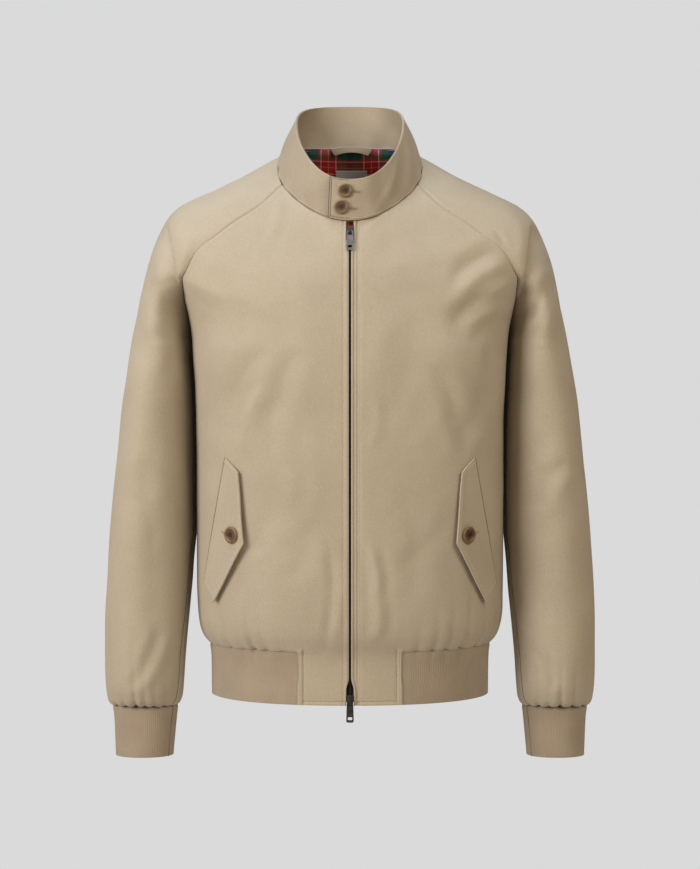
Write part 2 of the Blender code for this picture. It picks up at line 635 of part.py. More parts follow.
def worn_panel(rows, down, share, side, folds, gathers, middle_x):
    """A half panel with its folds and gathers, on the wearer's left (side 1) or right (side -1)."""
    grid = panel_grid(rows, down, share, middle_x)
    out = normals(grid) * (-1 if rows is BACK_ROWS else 1)
    away = ease(np.abs(grid[..., 1]) / FOLD_START_Y)
    depth = fold_depth(folds, side * grid[..., 0], grid[..., 2]) * away
    height = (WAIST_SEAM - down)[:, None]
    above = height > -1e-9
    depth += gather_depth(gathers, share[None, :], height, GATHER_SPREAD) * above
    part_x, part_y = part_direction(rows, down)
    grid = grid + out * depth[..., None]
    grid[:, -1, 0] -= part_x * SEAM_GAP / 2
    grid[:, -1, 1] -= part_y * SEAM_GAP / 2
    forward = np.sign(rows["middle_y"][0])
    grid[down >= UNDERARM - 1e-9, -1, 1] += forward * SEAM_GAP / 2
    return grid


def front_grid(side):
    """One front as seen on the wearer's left, from the neck to the hem, and its columns' shares."""
    folds = LEFT_FRONT_FOLDS if side > 0 else RIGHT_FRONT_FOLDS
    gathers = LEFT_FRONT_GATHERS if side > 0 else RIGHT_FRONT_GATHERS
    down = np.concatenate((BODY_DOWN, HEM_DOWN))
    share = gather_columns(gathers, (*ZIP_COLUMNS, block_share(), BESIDE_SEAM, 1))
    return worn_panel(FRONT_ROWS, down, share, side, folds, gathers, opening_edge(down)), share


def build_fronts():
    """Two fronts from the neck to the hem: beside the zip the cloth runs down between the ribs."""
    for name, side in (("front_left", 1), ("front_right", -1)):
        grid, share = front_grid(side)
        grid = trim_row(grid, 0, 1, SEAM_GAP / 2)
        waist = len(BODY_DOWN) - 1
        block = int(np.argmin(np.abs(share - block_share())))
        grid[waist, block + 1:] += (0, 0, SEAM_GAP / 2)
        kept = np.ones((grid.shape[0] - 1, grid.shape[1] - 1), dtype=bool)
        kept[waist:, block:] = False
        if side < 0:
            grid, kept = mirrored(grid), kept[:, ::-1]
        cloth_piece(name, grid, SHELL, material("cloth", 0.85), kept)


def back_grid(down, share):
    """The whole back, from the wearer's right seam to the left one."""
    middle = np.zeros_like(down)
    left = worn_panel(BACK_ROWS, down, share, 1, BACK_FOLDS, BACK_GATHERS, middle)
    right = worn_panel(BACK_ROWS, down, share, -1, BACK_FOLDS, BACK_GATHERS, middle)
    return np.concatenate((left[:, ::-1], (right * (-1, 1, 1))[:, 1:]), axis=1)


def build_back():
    """The back, from the neck to the rib."""
    share = gather_columns(BACK_GATHERS, (0, BESIDE_SEAM, 1))
    grid = back_grid(BODY_DOWN, share)
    grid = trim_row(grid, 0, 1, SEAM_GAP / 2)
    grid = trim_row(grid, -1, -2, SEAM_GAP / 2)
    cloth_piece("back", grid, SHELL, material("cloth", 0.85))


def sleeve_grid(down, front_share, back_share, side, folds, gathers):
    """A whole sleeve: from its front seam or inner side, round its outer side, to its back seam."""
    halves = []
    for rows, share, ring_y in (
        (FRONT_ROWS, front_share, "front_y"),
        (BACK_ROWS, back_share, "back_y"),
    ):
        halves.append(sleeve_half(rows, down, share, ring_y))
    grid = np.concatenate((halves[0], halves[1][:, -2::-1]), axis=1)
    tube = down > UNDERARM + 1e-9
    grid[tube, 0] = grid[tube, -1] = (grid[tube, 0] + grid[tube, -1]) / 2
    out = normals(grid)
    closed = down > UNDERARM - 1e-9
    join = out[closed, 0] + out[closed, -1]
    join /= np.linalg.norm(join, axis=-1, keepdims=True)
    out[closed, 0] = join
    out[closed, -1] = join
    forward = ease(-grid[..., 1] / 0.03 + 0.2)
    depth = fold_depth(folds, side * grid[..., 0], grid[..., 2]) * forward
    height = (CUFF_SEAM - down)[:, None]
    front_columns = len(front_share)
    depth[:, :front_columns] += gather_depth(gathers, front_share[None, :], height, CUFF_GATHER_SPREAD)
    depth[:, front_columns:] += gather_depth(
        BACK_CUFF_GATHERS, back_share[-2::-1][None, :], height, CUFF_GATHER_SPREAD
    )
    inner = np.minimum(np.arange(grid.shape[1]), np.arange(grid.shape[1])[::-1])
    depth *= ease(inner / 2.0)[None, :]
    return grid + out * depth[..., None]


def build_sleeves():
    """Two raglan sleeves, each one tube below the underarm and open over the shoulder up to the neck."""
    for name, side, folds, gathers in (
        ("sleeve_left", 1, LEFT_SLEEVE_FOLDS, LEFT_CUFF_GATHERS),
        ("sleeve_right", -1, RIGHT_SLEEVE_FOLDS, RIGHT_CUFF_GATHERS),
    ):
        front_share = gather_columns(gathers, (0, 0.10, 0.90, 1))
        back_share = gather_columns(BACK_CUFF_GATHERS, (0, 0.11, 0.90, 1))
        grid = sleeve_grid(SLEEVE_DOWN, front_share, back_share, side, folds, gathers)
        grid = trim_row(grid, 0, 1, SEAM_GAP / 2)
        grid = trim_row(grid, -1, -2, SEAM_GAP / 2)
        if side < 0:
            grid = mirrored(grid)
        cloth_piece(name, grid, SHELL, material("cloth", 0.85), welded=True)


def ring_grid(rings, heights, share):
    """Closed rings of a tube, each two half loops from its inner side to its outer side."""
    knots = -rings["z"]
    places = -heights
    inner, outer = smooth(knots, rings["inner_x"], places), smooth(knots, rings["outer_x"], places)
    halves = []
    for column in ("front_y", "back_y"):
        middle = smooth(knots, (rings["front_y"] + rings["back_y"]) / 2, places)
        pull = (smooth(knots, rings[column], places) - middle) / CUBIC_REACH
        x = cubic(inner, inner, outer, outer, share)
        y = cubic(middle, middle + pull, middle + pull, middle, share)
        z = np.broadcast_to(heights[:, None], x.shape)
        halves.append(np.stack((x, y, z), axis=-1))
    return np.concatenate((halves[0], halves[1][:, -2::-1]), axis=1)


def build_cuffs():
    """Two rib cuffs."""
    share = np.linspace(0, 1, 12)
    heights = np.array((CUFF_SEAM_Z - SEAM_GAP, -0.668, -0.694, CUFF_END_Z))
    for name, side in (("cuff_left", 1), ("cuff_right", -1)):
        grid = ring_grid(CUFF_RINGS, heights, share)
        if side < 0:
            grid = mirrored(grid)
        cloth_piece(name, grid, RIB, material("rib", 0.9), welded=True)


def build_waistband():
    """The rib of the hem, from one cloth block round the back to the other."""
    down = np.concatenate(((WAIST_SEAM,), HEM_DOWN))
    front = panel_grid(FRONT_ROWS, down, np.linspace(block_share(), 1, 10), opening_edge(down))
    back = panel_grid(BACK_ROWS, down, np.linspace(0, 1, 12), np.zeros(len(down)))
    left = np.concatenate((front, back[:, -2::-1]), axis=1)
    grid = np.concatenate((left, (left * (-1, 1, 1))[:, -2::-1]), axis=1)
    grid[:, 0, 0] += BLOCK_GAP
    grid[:, -1, 0] -= BLOCK_GAP
    grid = trim_row(grid, 0, 1, SEAM_GAP)
    cloth_piece("waistband", grid, RIB, material("rib", 0.9))


def neck_loop(count):
    """Half of the neck seam, on the wearer's left, from the middle front to the middle back."""
    top = np.array((0.0,))
    share = np.linspace(0, 1, 60)
    pieces = (
        panel_grid(FRONT_ROWS, top, share, top)[0],
        sleeve_half(FRONT_ROWS, top, share, "front_y")[0],
        sleeve_half(BACK_ROWS, top, share, "back_y")[0, ::-1],
        panel_grid(BACK_ROWS, top, share, top)[0, ::-1],
    )
    return evenly_spaced(np.concatenate(pieces), count)


def evenly_spaced(points, count):
    """The same line with points at even distances."""
    steps = np.linalg.norm(np.diff(points, axis=0), axis=1)
    run = np.concatenate(((0,), np.cumsum(steps)))
    places = np.linspace(0, run[-1], count)
    return np.stack([np.interp(places, run, points[:, axis]) for axis in range(3)], axis=-1)


def rim_loop(count):
    """Half of the collar's rim, from the middle front to the middle back."""
    turn = np.linspace(0, math.pi, 120)
    power = 2 / RIM_SQUARENESS
    x = RIM_HALF_WIDTH * np.sin(turn) ** power
    reach = np.where(turn < math.pi / 2, RIM_FRONT[0], -RIM_BACK[0])
    y = reach * np.sign(np.cos(turn)) * np.abs(np.cos(turn)) ** power
    front_y, front_z = RIM_FRONT
    back_y, back_z = RIM_BACK
    rise = np.array(((front_y, front_y**2), (back_y, back_y**2)))
    slope, bend = np.linalg.solve(rise, np.array((front_z - RIM_SIDE_Z, back_z - RIM_SIDE_Z)))
    z = RIM_SIDE_Z + slope * y + bend * y**2
    return evenly_spaced(np.stack((x, y, z), axis=-1), count)


LOOP_COUNT = 201


def collar_points(around, height):
    """Points of the collar's outer face.

    Around runs from -1 (middle front, by the wearer's right) through 0 (middle back) to 1 (middle
    front, by the left), and past these where the ends overlap. Height runs from 0 to 1, the rim.
    """
    base, rim = neck_loop(LOOP_COUNT), rim_loop(LOOP_COUNT)
    past = np.abs(around) > 1
    share = np.where(past, np.abs(around) - 1, 1 - np.abs(around))
    side = np.where(past, -np.sign(around), np.sign(around))
    place = share * (LOOP_COUNT - 1)
    index = np.arange(LOOP_COUNT)
    low = np.stack([np.interp(place, index, base[:, axis]) for axis in range(3)], axis=-1)
    high = np.stack([np.interp(place, index, rim[:, axis]) for axis in range(3)], axis=-1)
    low[:, 0] *= side
    high[:, 0] *= side
    height = height[:, None, None]
    grid = low + (high - low) * height
    rise = high - low
    grid = grid + rise / np.linalg.norm(rise, axis=-1, keepdims=True) * SEAM_GAP * (1 - height)
    outward = grid * (1, 1, 0)
    outward /= np.linalg.norm(outward, axis=-1, keepdims=True)
    step = COLLAR_STEP * ease((around - 1 + 0.16) / 0.09)
    bulge = COLLAR_BULGE * 4 * height * (1 - height)
    return grid + outward * (bulge + step[None, :, None])


def half_neck_length():
    """Length of half the neck seam."""
    return float(np.linalg.norm(np.diff(neck_loop(LOOP_COUNT), axis=0), axis=1).sum())


def build_collar():
    """The stand collar, one band whose left end is buttoned over the right one."""
    length = half_neck_length()
    ends = (-1 - COLLAR_UNDER_X / length, 1 + COLLAR_OVER_X / length)
    around = np.concatenate((
        np.linspace(ends[0], -1, 3)[:-1],
        np.linspace(-1, 0.82, 37),
        np.linspace(0.82, 1, 8)[1:],
        np.linspace(1, ends[1], 3)[1:],
    ))
    grid = collar_points(around, np.linspace(0, 1, 4))
    cloth_piece("collar", grid, COLLAR_CLOTH, material("cloth", 0.85))


def turn_to(point, out):
    """A matrix that puts local +Z along a direction and the origin at a point."""
    return Matrix.Translation(Vector(point)) @ Vector(out).to_track_quat("Z", "Y").to_matrix().to_4x4()


def build_button(name, radius, place):
    """A turned button with a raised rim, a sunk middle and four thread holes."""
    half = BUTTON_THICKNESS / 2
    profile = (
        (0.0, half - 0.0011), (radius * 0.56, half - 0.0011), (radius * 0.80, half),
        (radius, half - 0.0012), (radius * 0.88, -half), (0.0, -half),
    )
    mesh = bpy.data.meshes.new(name)
    points = [(across, 0.0, up) for across, up in profile]
    mesh.from_pydata(points, [(i, i + 1) for i in range(len(points) - 1)], [])
    made = add_object(name, mesh, material("horn", 0.35))
    turned = made.modifiers.new("turned", "SCREW")
    turned.steps = 16
    turned.render_steps = 16
    turned.use_merge_vertices = True
    turned.merge_threshold = 0.00001
    for number in range(4):
        angle = math.pi / 4 + number * math.pi / 2
        cutter = add_cutter(f"{name}_hole_{number}")
        offset = (math.cos(angle) * BUTTON_HOLE_SPREAD, math.sin(angle) * BUTTON_HOLE_SPREAD, 0)
        cutter.matrix_world = place @ Matrix.Translation(offset)
        cut = made.modifiers.new("hole", "BOOLEAN")
        cut.operation = "DIFFERENCE"
        cut.object = cutter
    made.matrix_world = place
    return made


def add_cutter(name):
    """A short six-sided rod that cuts one thread hole."""
    mesh = bpy.data.meshes.new(name)
    shape = bmesh.new()
    bmesh.ops.create_cone(
        shape, cap_ends=True, segments=6, radius1=BUTTON_HOLE_RADIUS, radius2=BUTTON_HOLE_RADIUS,
        depth=BUTTON_THICKNESS * 2,
    )
    shape.to_mesh(mesh)
    shape.free()
    made = bpy.data.objects.new(name, mesh)
    bpy.data.collections["cutters"].objects.link(made)
    made.hide_render = True
    made.display_type = "WIRE"
    return made


def build_collar_buttons():
    """Two buttons on the collar's overlapping end."""
    length = half_neck_length()
    for name, across, height in COLLAR_BUTTONS:
        around = 1 - across / length
        places = np.array((around - 0.01, around, around + 0.01))
        heights = np.array((height - 0.05, height, height + 0.05))
        patch = collar_points(places, heights)
        out = np.cross(patch[1, 2] - patch[1, 0], patch[2, 1] - patch[0, 1])
        out *= np.sign(-out[1]) / np.linalg.norm(out)
        middle = patch[1, 1] + out * (BUTTON_THICKNESS / 2 + SEAM_GAP)
        build_button(name, COLLAR_BUTTON_RADIUS, turn_to(middle, out))


def front_points(x, z, side):
    """Points and outward normals of a front's own faces, at places seen from straight in front."""
    grid, share = front_grid(side)
    row_z = -grid[:, len(share) // 2, 2]
    points = []
    out = []
    for place_x, place_z in zip(x, z):
        row = int(np.clip(np.searchsorted(row_z, -place_z) - 1, 0, len(row_z) - 2))
        part = (-place_z - row_z[row]) / (row_z[row + 1] - row_z[row])
        line = grid[row] * (1 - part) + grid[row + 1] * part
        column = int(np.clip(np.searchsorted(line[:, 0], place_x) - 1, 0, len(share) - 2))
        step = line[column + 1] - line[column]
        points.append(line[column] + step * (place_x - line[column, 0]) / step[0])
        normal = np.array((step[1], -step[0], 0))
        out.append(normal / np.linalg.norm(normal))
    return np.array(points), np.array(out)


def flap_grid(side, along, across):
    """The flap's under side: from its sewn edge to its free edges, lifted a little at the free ones."""
    sewn = np.array(FLAP_SEWN)
    free = np.array(FLAP_FREE)
    rows = []
    for share in along:
        start = sewn[0] + (sewn[1] - sewn[0]) * share
        if share < FLAP_BEND_SHARE:
            end = free[0] + (free[1] - free[0]) * share / FLAP_BEND_SHARE
        else:
            end = free[1] + (free[2] - free[1]) * (share - FLAP_BEND_SHARE) / (1 - FLAP_BEND_SHARE)
        places = start + (end - start) * across[:, None]
        points, out = front_points(places[:, 0], places[:, 1], side)
        lift = FLAP_CLEAR + FLAP_LIFT * across**2 * math.sin(math.pi * min(max(share, 0.15), 0.85))
        rows.append(points + out * lift[:, None])
    return np.array(rows)


def build_flaps():
    """Two slanted pocket flaps, each with a button through it."""
    along = np.linspace(0, 1, 9)
    across = np.linspace(0, 1, 6)
    for name, side in (("left", 1), ("right", -1)):
        grid = flap_grid(side, along, across)[:, ::-1]
        middle, out = button_seat(side)
        if side < 0:
            grid = mirrored(grid)
            middle, out = middle * (-1, 1, 1), out * (-1, 1, 1)
        cloth_piece(f"flap_{name}", grid, FLAP_CLOTH, material("cloth", 0.85), outwards=True)
        seat = middle + out * (FLAP_CLOTH + BUTTON_THICKNESS / 2 + 2 * SEAM_GAP)
        build_button(f"pocket_button_{name}", POCKET_BUTTON_RADIUS, turn_to(seat, out))


def button_seat(side):
    """The point of the flap's under side below its button, and the direction out of the flap there."""
    grid = flap_grid(side, np.linspace(0.45, 0.75, 7), np.linspace(0.3, 1, 15))
    x, z = FLAP_BUTTON
    distance = np.hypot(grid[..., 0] - x, grid[..., 2] - z)
    row, column = np.unravel_index(np.argmin(distance), distance.shape)
    row = min(max(row, 1), grid.shape[0] - 2)
    column = min(max(column, 1), grid.shape[1] - 2)
    across = grid[row, column + 1] - grid[row, column - 1]
    along = grid[row + 1, column] - grid[row - 1, column]
    out = np.cross(across, along)
    out *= np.sign(-out[1]) / np.linalg.norm(out)
    return grid[row, column], out


def middle_line(heights):
    """The middle of the front at given heights: y, and the unit direction down along it."""
    down = np.linspace(0, HEM, 600)
    y = body_column(FRONT_ROWS["middle_y"], BODY_ROWS["front_y"], down)
    z = body_column(FRONT_ROWS["middle_z"], BODY_ROWS["front_z"], down)
    found = np.interp(-heights, -z, y)
    slope = np.interp(-heights, -z, np.gradient(y, z))
    return found, slope


def zip_strip(name, inner_x, outer_x, depth, thickness, top, bottom, finish):
    """A strip that follows the middle of the front row by row, behind its outer face by depth."""
    down = np.concatenate((BODY_DOWN, HEM_DOWN))
    row_z = body_column(FRONT_ROWS["middle_z"], BODY_ROWS["front_z"], down)
    inside = row_z[(row_z < top - 0.001) & (row_z > bottom + 0.001)]
    heights = np.concatenate(((top,), inside, (bottom,)))
    row_y = middle_line(row_z)[0]
    y = np.interp(-heights, -row_z, row_y)
    slope = middle_line(heights)[1]
    inwards = np.stack((0 * y, np.ones_like(y), -slope), axis=-1)
    inwards /= np.linalg.norm(inwards, axis=-1, keepdims=True)
    line = np.stack((0 * y, y, heights), axis=-1) + inwards * depth
    grid = np.stack((line + (inner_x, 0, 0), line + (outer_x, 0, 0)), axis=1)
    return cloth_piece(name, grid, thickness, finish)


def build_zip():
    """The zip's two tapes behind the front edges, and its closed chain between them."""
    tape = material("tape", 0.7)
    inner = CHAIN_WIDTH / 2 + SEAM_GAP
    depth = SHELL + TAPE_BEHIND
    outer = inner + TAPE_WIDTH
    zip_strip("zip_tape_left", inner, outer, depth, TAPE_DEPTH, TAPE_TOP_Z, TAPE_END_Z, tape)
    zip_strip("zip_tape_right", -outer, -inner, depth, TAPE_DEPTH, TAPE_TOP_Z, TAPE_END_Z, tape)
    core = SLIDER_CORE[1] + SEAM_GAP
    top = TOP_SLIDER_Z + SLIDER_LENGTH / 2 - core
    bottom = BOTTOM_SLIDER_Z - SLIDER_LENGTH / 2 + core
    half = CHAIN_WIDTH / 2
    zip_strip("zip_chain", -half, half, SHELL + CHAIN_BEHIND, CHAIN_DEPTH, top, bottom, tape)


def add_box(shape, low, high):
    """A box from its lowest to its highest corner."""
    low, high = Vector(low), Vector(high)
    place = Matrix.Translation((low + high) / 2) @ Matrix.Diagonal(high - low).to_4x4()
    bmesh.ops.create_cube(shape, size=1.0, matrix=place)


def box_object(name, low, high, collection):
    """A box as an object of its own."""
    mesh = bpy.data.meshes.new(name)
    shape = bmesh.new()
    add_box(shape, low, high)
    shape.to_mesh(mesh)
    shape.free()
    made = bpy.data.objects.new(name, mesh)
    bpy.data.collections[collection].objects.link(made)
    return made


def slider_frame(height):
    """The place of a slider: on the middle of the front, with local Z along the zip and -Y out of it."""
    y, slope = middle_line(np.array((height,)))
    lean = math.atan(float(slope[0]))
    return Matrix.Translation((0, float(y[0]), height)) @ Matrix.Rotation(-lean, 4, "X")


def build_slider(name, height, mouth_up):
    """A slider: a front and a back plate joined by a core at the mouth, and a bridge for the pull tab."""
    half = SLIDER_WIDTH / 2
    ends = SLIDER_LENGTH / 2
    front, back = SLIDER_FRONT, SLIDER_BACK
    core_half, core_length = SLIDER_CORE[0] / 2, SLIDER_CORE[1]
    core_low = ends - core_length if mouth_up else -ends
    bar_half, post_half = BRIDGE_WIDTH / 2, BRIDGE_POST_WIDTH / 2
    bar_out = front[0] - BRIDGE_OPENING - BRIDGE_BAR
    bar_in = front[0] - BRIDGE_OPENING
    low, high = -HINGE_DROP - BRIDGE_LENGTH / 2, -HINGE_DROP + BRIDGE_LENGTH / 2
    sunk = SLIDER_OVERLAP
    made = box_object(name, (-half, front[0], -ends), (half, front[1], ends), OBJECT_NAME)
    pieces = (
        ("back", (-half, back[0], -ends), (half, back[1], ends)),
        (
            "core",
            (-core_half, front[0] + sunk, core_low + sunk),
            (core_half, back[1] - sunk, core_low + core_length),
        ),
        ("bar", (-bar_half, bar_out, low), (bar_half, bar_in, high)),
        (
            "post_low",
            (-post_half, bar_out + sunk, low + sunk),
            (post_half, front[0] + sunk, low + BRIDGE_BAR),
        ),
        (
            "post_high",
            (-post_half, bar_out + sunk, high - BRIDGE_BAR),
            (post_half, front[0] + sunk, high - sunk),
        ),
    )
    for piece, low_corner, high_corner in pieces:
        add_boolean(made, box_object(f"{name}_{piece}", low_corner, high_corner, "cutters"), "UNION")
    place = slider_frame(height)
    made.matrix_world = place
    for modifier in made.modifiers:
        modifier.object.matrix_world = place
    made.data.materials.append(material("metal", 0.35, 1.0))
    return made


def add_boolean(target, tool, operation):
    """Joins or cuts the target with a tool that itself stays out of the model."""
    tool.hide_render = True
    tool.display_type = "WIRE"
    step = target.modifiers.new(operation.lower(), "BOOLEAN")
    step.operation = operation
    step.object = tool


def rounded_outline(curve, corners, radius):
    """Adds a closed outline with rounded corners to a flat curve."""
    points = []
    count = len(corners)
    for number in range(count):
        corner = Vector(corners[number])
        before = (Vector(corners[number - 1]) - corner).normalized()
        after = (Vector(corners[(number + 1) % count]) - corner).normalized()
        for share in (0, 1 / 3, 2 / 3, 1):
            start, end = corner + before * radius, corner + after * radius
            points.append(start * (1 - share) ** 2 + corner * 2 * share * (1 - share) + end * share**2)
    spline = curve.splines.new("POLY")
    spline.points.add(len(points) - 1)
    for point, place in zip(spline.points, points):
        point.co = (place.x, place.y, 0, 1)
    spline.use_cyclic_u = True


def rectangle(half_width, top, low):
    """The corners of an upright rectangle about the middle."""
    return (-half_width, top), (half_width, top), (half_width, low), (-half_width, low)


def build_tab(name, height, lean):
    """A pull tab on its slider's bridge: a flat plate with a window at its hinge and a slot below."""
    curve = bpy.data.curves.new(name, "CURVE")
    curve.dimensions = "2D"
    curve.fill_mode = "BOTH"
    curve.extrude = TAB_THICKNESS / 2
    top, end = TAB_TOP_WIDTH / 2, TAB_END_WIDTH / 2
    bar = TAB_THICKNESS / 2
    low = bar - TAB_LENGTH
    rounded_outline(curve, ((-top, bar), (top, bar), (end, low), (-end, low)), TAB_CORNER)
    window = rectangle(TAB_WINDOW[0] / 2, -bar, -TAB_WINDOW[1])
    rounded_outline(curve, window, TAB_WINDOW_CORNER)
    slot_z = low + TAB_SLOT_UP
    slot = rectangle(TAB_SLOT[0] / 2, slot_z + TAB_SLOT[1] / 2, slot_z - TAB_SLOT[1] / 2)
    rounded_outline(curve, slot, TAB_SLOT_CORNER)
    flat = bpy.data.objects.new(name + "_outline", curve)
    bpy.context.scene.collection.objects.link(flat)
    mesh = bpy.data.meshes.new_from_object(flat.evaluated_get(bpy.context.evaluated_depsgraph_get()))
    bpy.data.objects.remove(flat, do_unlink=True)
    shape = bmesh.new()
    shape.from_mesh(mesh)
    bmesh.ops.remove_doubles(shape, verts=shape.verts, dist=1e-6)
    shape.to_mesh(mesh)
    shape.free()
    mesh.name = name
    made = add_object(name, mesh, material("metal", 0.35, 1.0))
    hinge_out = SLIDER_FRONT[0] - BRIDGE_OPENING / 2
    hinge = slider_frame(height) @ Vector((0, hinge_out, -HINGE_DROP))
    made.matrix_world = Matrix.Translation(hinge) @ Matrix.Rotation(math.radians(90) - lean, 4, "X")
    return made


def build_pulls():
    """Two sliders with their pull tabs. The upper tab lies along the chest, the lower one hangs down."""
    build_slider("slider_top", TOP_SLIDER_Z, True)
    build_slider("slider_bottom", BOTTOM_SLIDER_Z, False)
    slope = middle_line(np.array((TOP_SLIDER_Z - TAB_LENGTH * 0.4,)))[1]
    build_tab("pull_tab_top", TOP_SLIDER_Z, math.atan(float(slope[0])))
    build_tab("pull_tab_bottom", BOTTOM_SLIDER_Z, 0.0)


def lining_grid():
    """The back lining's outer face: every second column of the back's own points, moved in."""
    share = gather_columns(BACK_GATHERS, (0, BESIDE_SEAM, 1))[:-1:2]
    down = np.concatenate(((LINING_TOP,), RAGLAN_DOWN[1:-1]))
    grid = back_grid(down, share)
    return grid - back_out(grid) * (SHELL + LINING_CLEAR)


def build_lining():
    """The lining of the back, seen through the neck."""
    cloth_piece("back_lining", lining_grid(), LINING_CLOTH, material("lining", 0.6))


def back_out(grid):
    """Outward normals of a grid of the back."""
    out = normals(grid)
    return out * np.sign(out[..., 1:2])


def build_label():
    """The bare label on the lining below the neck seam, from the lining's own faces, moved in."""
    lining = lining_grid()
    x = np.linspace(LABEL_X[0], LABEL_X[1], 6)
    on_rows = []
    for row in lining:
        y = np.interp(-x, -row[:, 0], row[:, 1])
        z = np.interp(-x, -row[:, 0], row[:, 2])
        on_rows.append(np.stack((x, y, z), axis=-1))
    on_rows = np.array(on_rows)
    middle_z = on_rows[:, 2, 2]
    rows = []
    for height in np.linspace(LABEL_Z[0], LABEL_Z[1], 5):
        row = int(np.clip(np.searchsorted(-middle_z, -height) - 1, 0, len(middle_z) - 2))
        part = (height - middle_z[row]) / (middle_z[row + 1] - middle_z[row])
        rows.append(on_rows[row] * (1 - part) + on_rows[row + 1] * part)
    grid = np.array(rows)[:, ::-1]
    grid = grid - back_out(grid) * (LINING_CLOTH + LABEL_CLEAR)
    cloth_piece("label", grid, LABEL_CLOTH, material("label", 0.8))


def build_hanger_loop():
    """The hanger loop: a strip sewn at both ends inside the collar, standing off in the middle."""
    base = neck_loop(LOOP_COUNT)
    back_half = base[LOOP_COUNT // 2:][::-1]
    x = np.linspace(LOOP_ENDS_X[0], LOOP_ENDS_X[1], 13)
    y = np.interp(np.abs(x), back_half[:, 0], back_half[:, 1])
    z = np.interp(np.abs(x), back_half[:, 0], back_half[:, 2])
    share = (x - x[0]) / (x[-1] - x[0])
    arch = 4 * share * (1 - share)
    y = y - COLLAR_CLOTH - LOOP_CLEAR - LOOP_STAND * arch
    z = z - LOOP_DROP + LOOP_DROP * arch
    rows = [np.stack((x, y, z + up), axis=-1) for up in (LOOP_WIDTH / 2, -LOOP_WIDTH / 2)]
    cloth_piece("hanger_loop", np.array(rows)[:, ::-1], LOOP_CLOTH, material("cloth", 0.85))


def main():
    """Builds the whole jacket."""
    clear_scene()
    new_collection(OBJECT_NAME)
    new_collection("cutters")
    build_fronts()
    build_back()
    build_sleeves()
    build_cuffs()
    build_waistband()
    build_collar()
    build_collar_buttons()
    build_flaps()
    build_zip()
    build_pulls()
    build_lining()
    build_label()
    build_hanger_loop()


main()
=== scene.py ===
"""The looks of the harrington jacket: fine cloth, seams, stitches, ribs, zip and lining on the solids.

Every panel repeats the shape of its solid, from the same tables, on a finer grid, and adds what the
cloth does on that form: creases, gathers, seams that dip, topstitching. Lengths are in metres, +Z is
up and the front faces -Y. Down is a place along the cloth from the neck, and share a place across it.
"""

import math

import bmesh
import bpy
import numpy as np
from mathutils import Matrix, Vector


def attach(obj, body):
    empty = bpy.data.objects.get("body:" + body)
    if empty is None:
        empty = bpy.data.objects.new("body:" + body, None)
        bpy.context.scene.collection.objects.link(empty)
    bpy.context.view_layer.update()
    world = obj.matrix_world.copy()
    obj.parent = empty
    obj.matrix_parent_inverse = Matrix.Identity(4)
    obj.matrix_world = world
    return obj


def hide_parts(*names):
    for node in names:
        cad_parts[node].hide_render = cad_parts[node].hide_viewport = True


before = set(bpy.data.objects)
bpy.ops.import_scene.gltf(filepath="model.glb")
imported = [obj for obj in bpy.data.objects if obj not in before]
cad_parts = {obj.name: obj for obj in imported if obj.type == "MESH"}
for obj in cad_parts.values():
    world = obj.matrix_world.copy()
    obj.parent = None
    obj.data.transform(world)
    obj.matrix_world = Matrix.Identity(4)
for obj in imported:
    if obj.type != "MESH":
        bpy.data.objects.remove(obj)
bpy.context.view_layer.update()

CAMERA_DISTANCE = 2.7
CAMERA_HEIGHT = -0.3288
VIEW_HEIGHT = 1.0602       # height of what the camera sees at the jacket's middle
SENSOR = 36.0
FLOOR_Z = -1.6
FLOOR_RADIUS = 3.4
LIGHT_SIZE = 1.3
LIGHT_AIM = (0, 0, -0.3)
LIGHTS = (   # name, place, power
    ("key", (-2.0, -1.6, 0.4), 60),
    ("fill", (1.6, -2.1, 0.9), 36),
    ("top", (-0.4, -0.3, 1.9), 38),
)
SEED = 11

COLOURS = {
    "backdrop": "dadada",
    "ambient": "867665",
    "cloth": "b1a48b",
    "cloth_dark": "9f9279",
    # The collar's cloth: the body's poplin darkened by about a tenth, painted shade for the shade the
    # collar lies in
    "collar": "a3947b",
    "collar_shaded_dark": "93846b",
    "rib": "a6967d",
    "rib_dark": "8e7d66",
    "thread": "d3c6ae",
    "seam_thread": "a08d70",
    "red": "c4141f",
    "green": "1f5a45",
    "navy": "1d2450",
    "cream": "e8e2d4",
    "yellow": "c9a544",
    "label": "e4e4e2",
    "label_dark": "c4c5c6",
    "tape": "17110d",
    "chain": "1a1410",
    "metal": "9a9b99",
    "metal_dark": "828381",
    # The sliders' darker zinc, also used as painted shade on the lower pull tab, which is the same metal
    # as the upper one
    "slider": "5d5b57",
    "slider_dark": "474540",
    "horn": "2c2018",
    "horn_middle": "4f3a22",
    "horn_rim": "775c36",
    # dark thread of the buttons and seams, also drawn as painted shadow lines
    "dark_thread_and_shadow": "4a3b2b",
    "key": "fffcfe",
    "fill": "fff6eb",
    "top": "d1e4ff",
}


# Cloth and gaps
SHELL = 0.0016            # shell cloth with its backing
RIB = 0.0024              # ribbed knit, doubled
COLLAR_CLOTH = 0.0024     # two layers and interlining
FLAP_CLOTH = 0.0022       # two layers and interlining
LINING_CLOTH = 0.0010
SEAM_GAP = 0.00012        # between two cut pieces at their seam
# Lengths and heights
SEAM_LENGTH = 0.307       # raglan seam, neck to underarm
UNDERARM_Z = -0.216
WAIST_SEAM_Z = -0.5815
HEM_Z = -0.642
CUFF_SEAM_Z = -0.6565
CUFF_END_Z = -0.7175
UNDERARM = SEAM_LENGTH
WAIST_SEAM = UNDERARM + UNDERARM_Z - WAIST_SEAM_Z
HEM = UNDERARM + UNDERARM_Z - HEM_Z
CUFF_SEAM = UNDERARM + UNDERARM_Z - CUFF_SEAM_Z
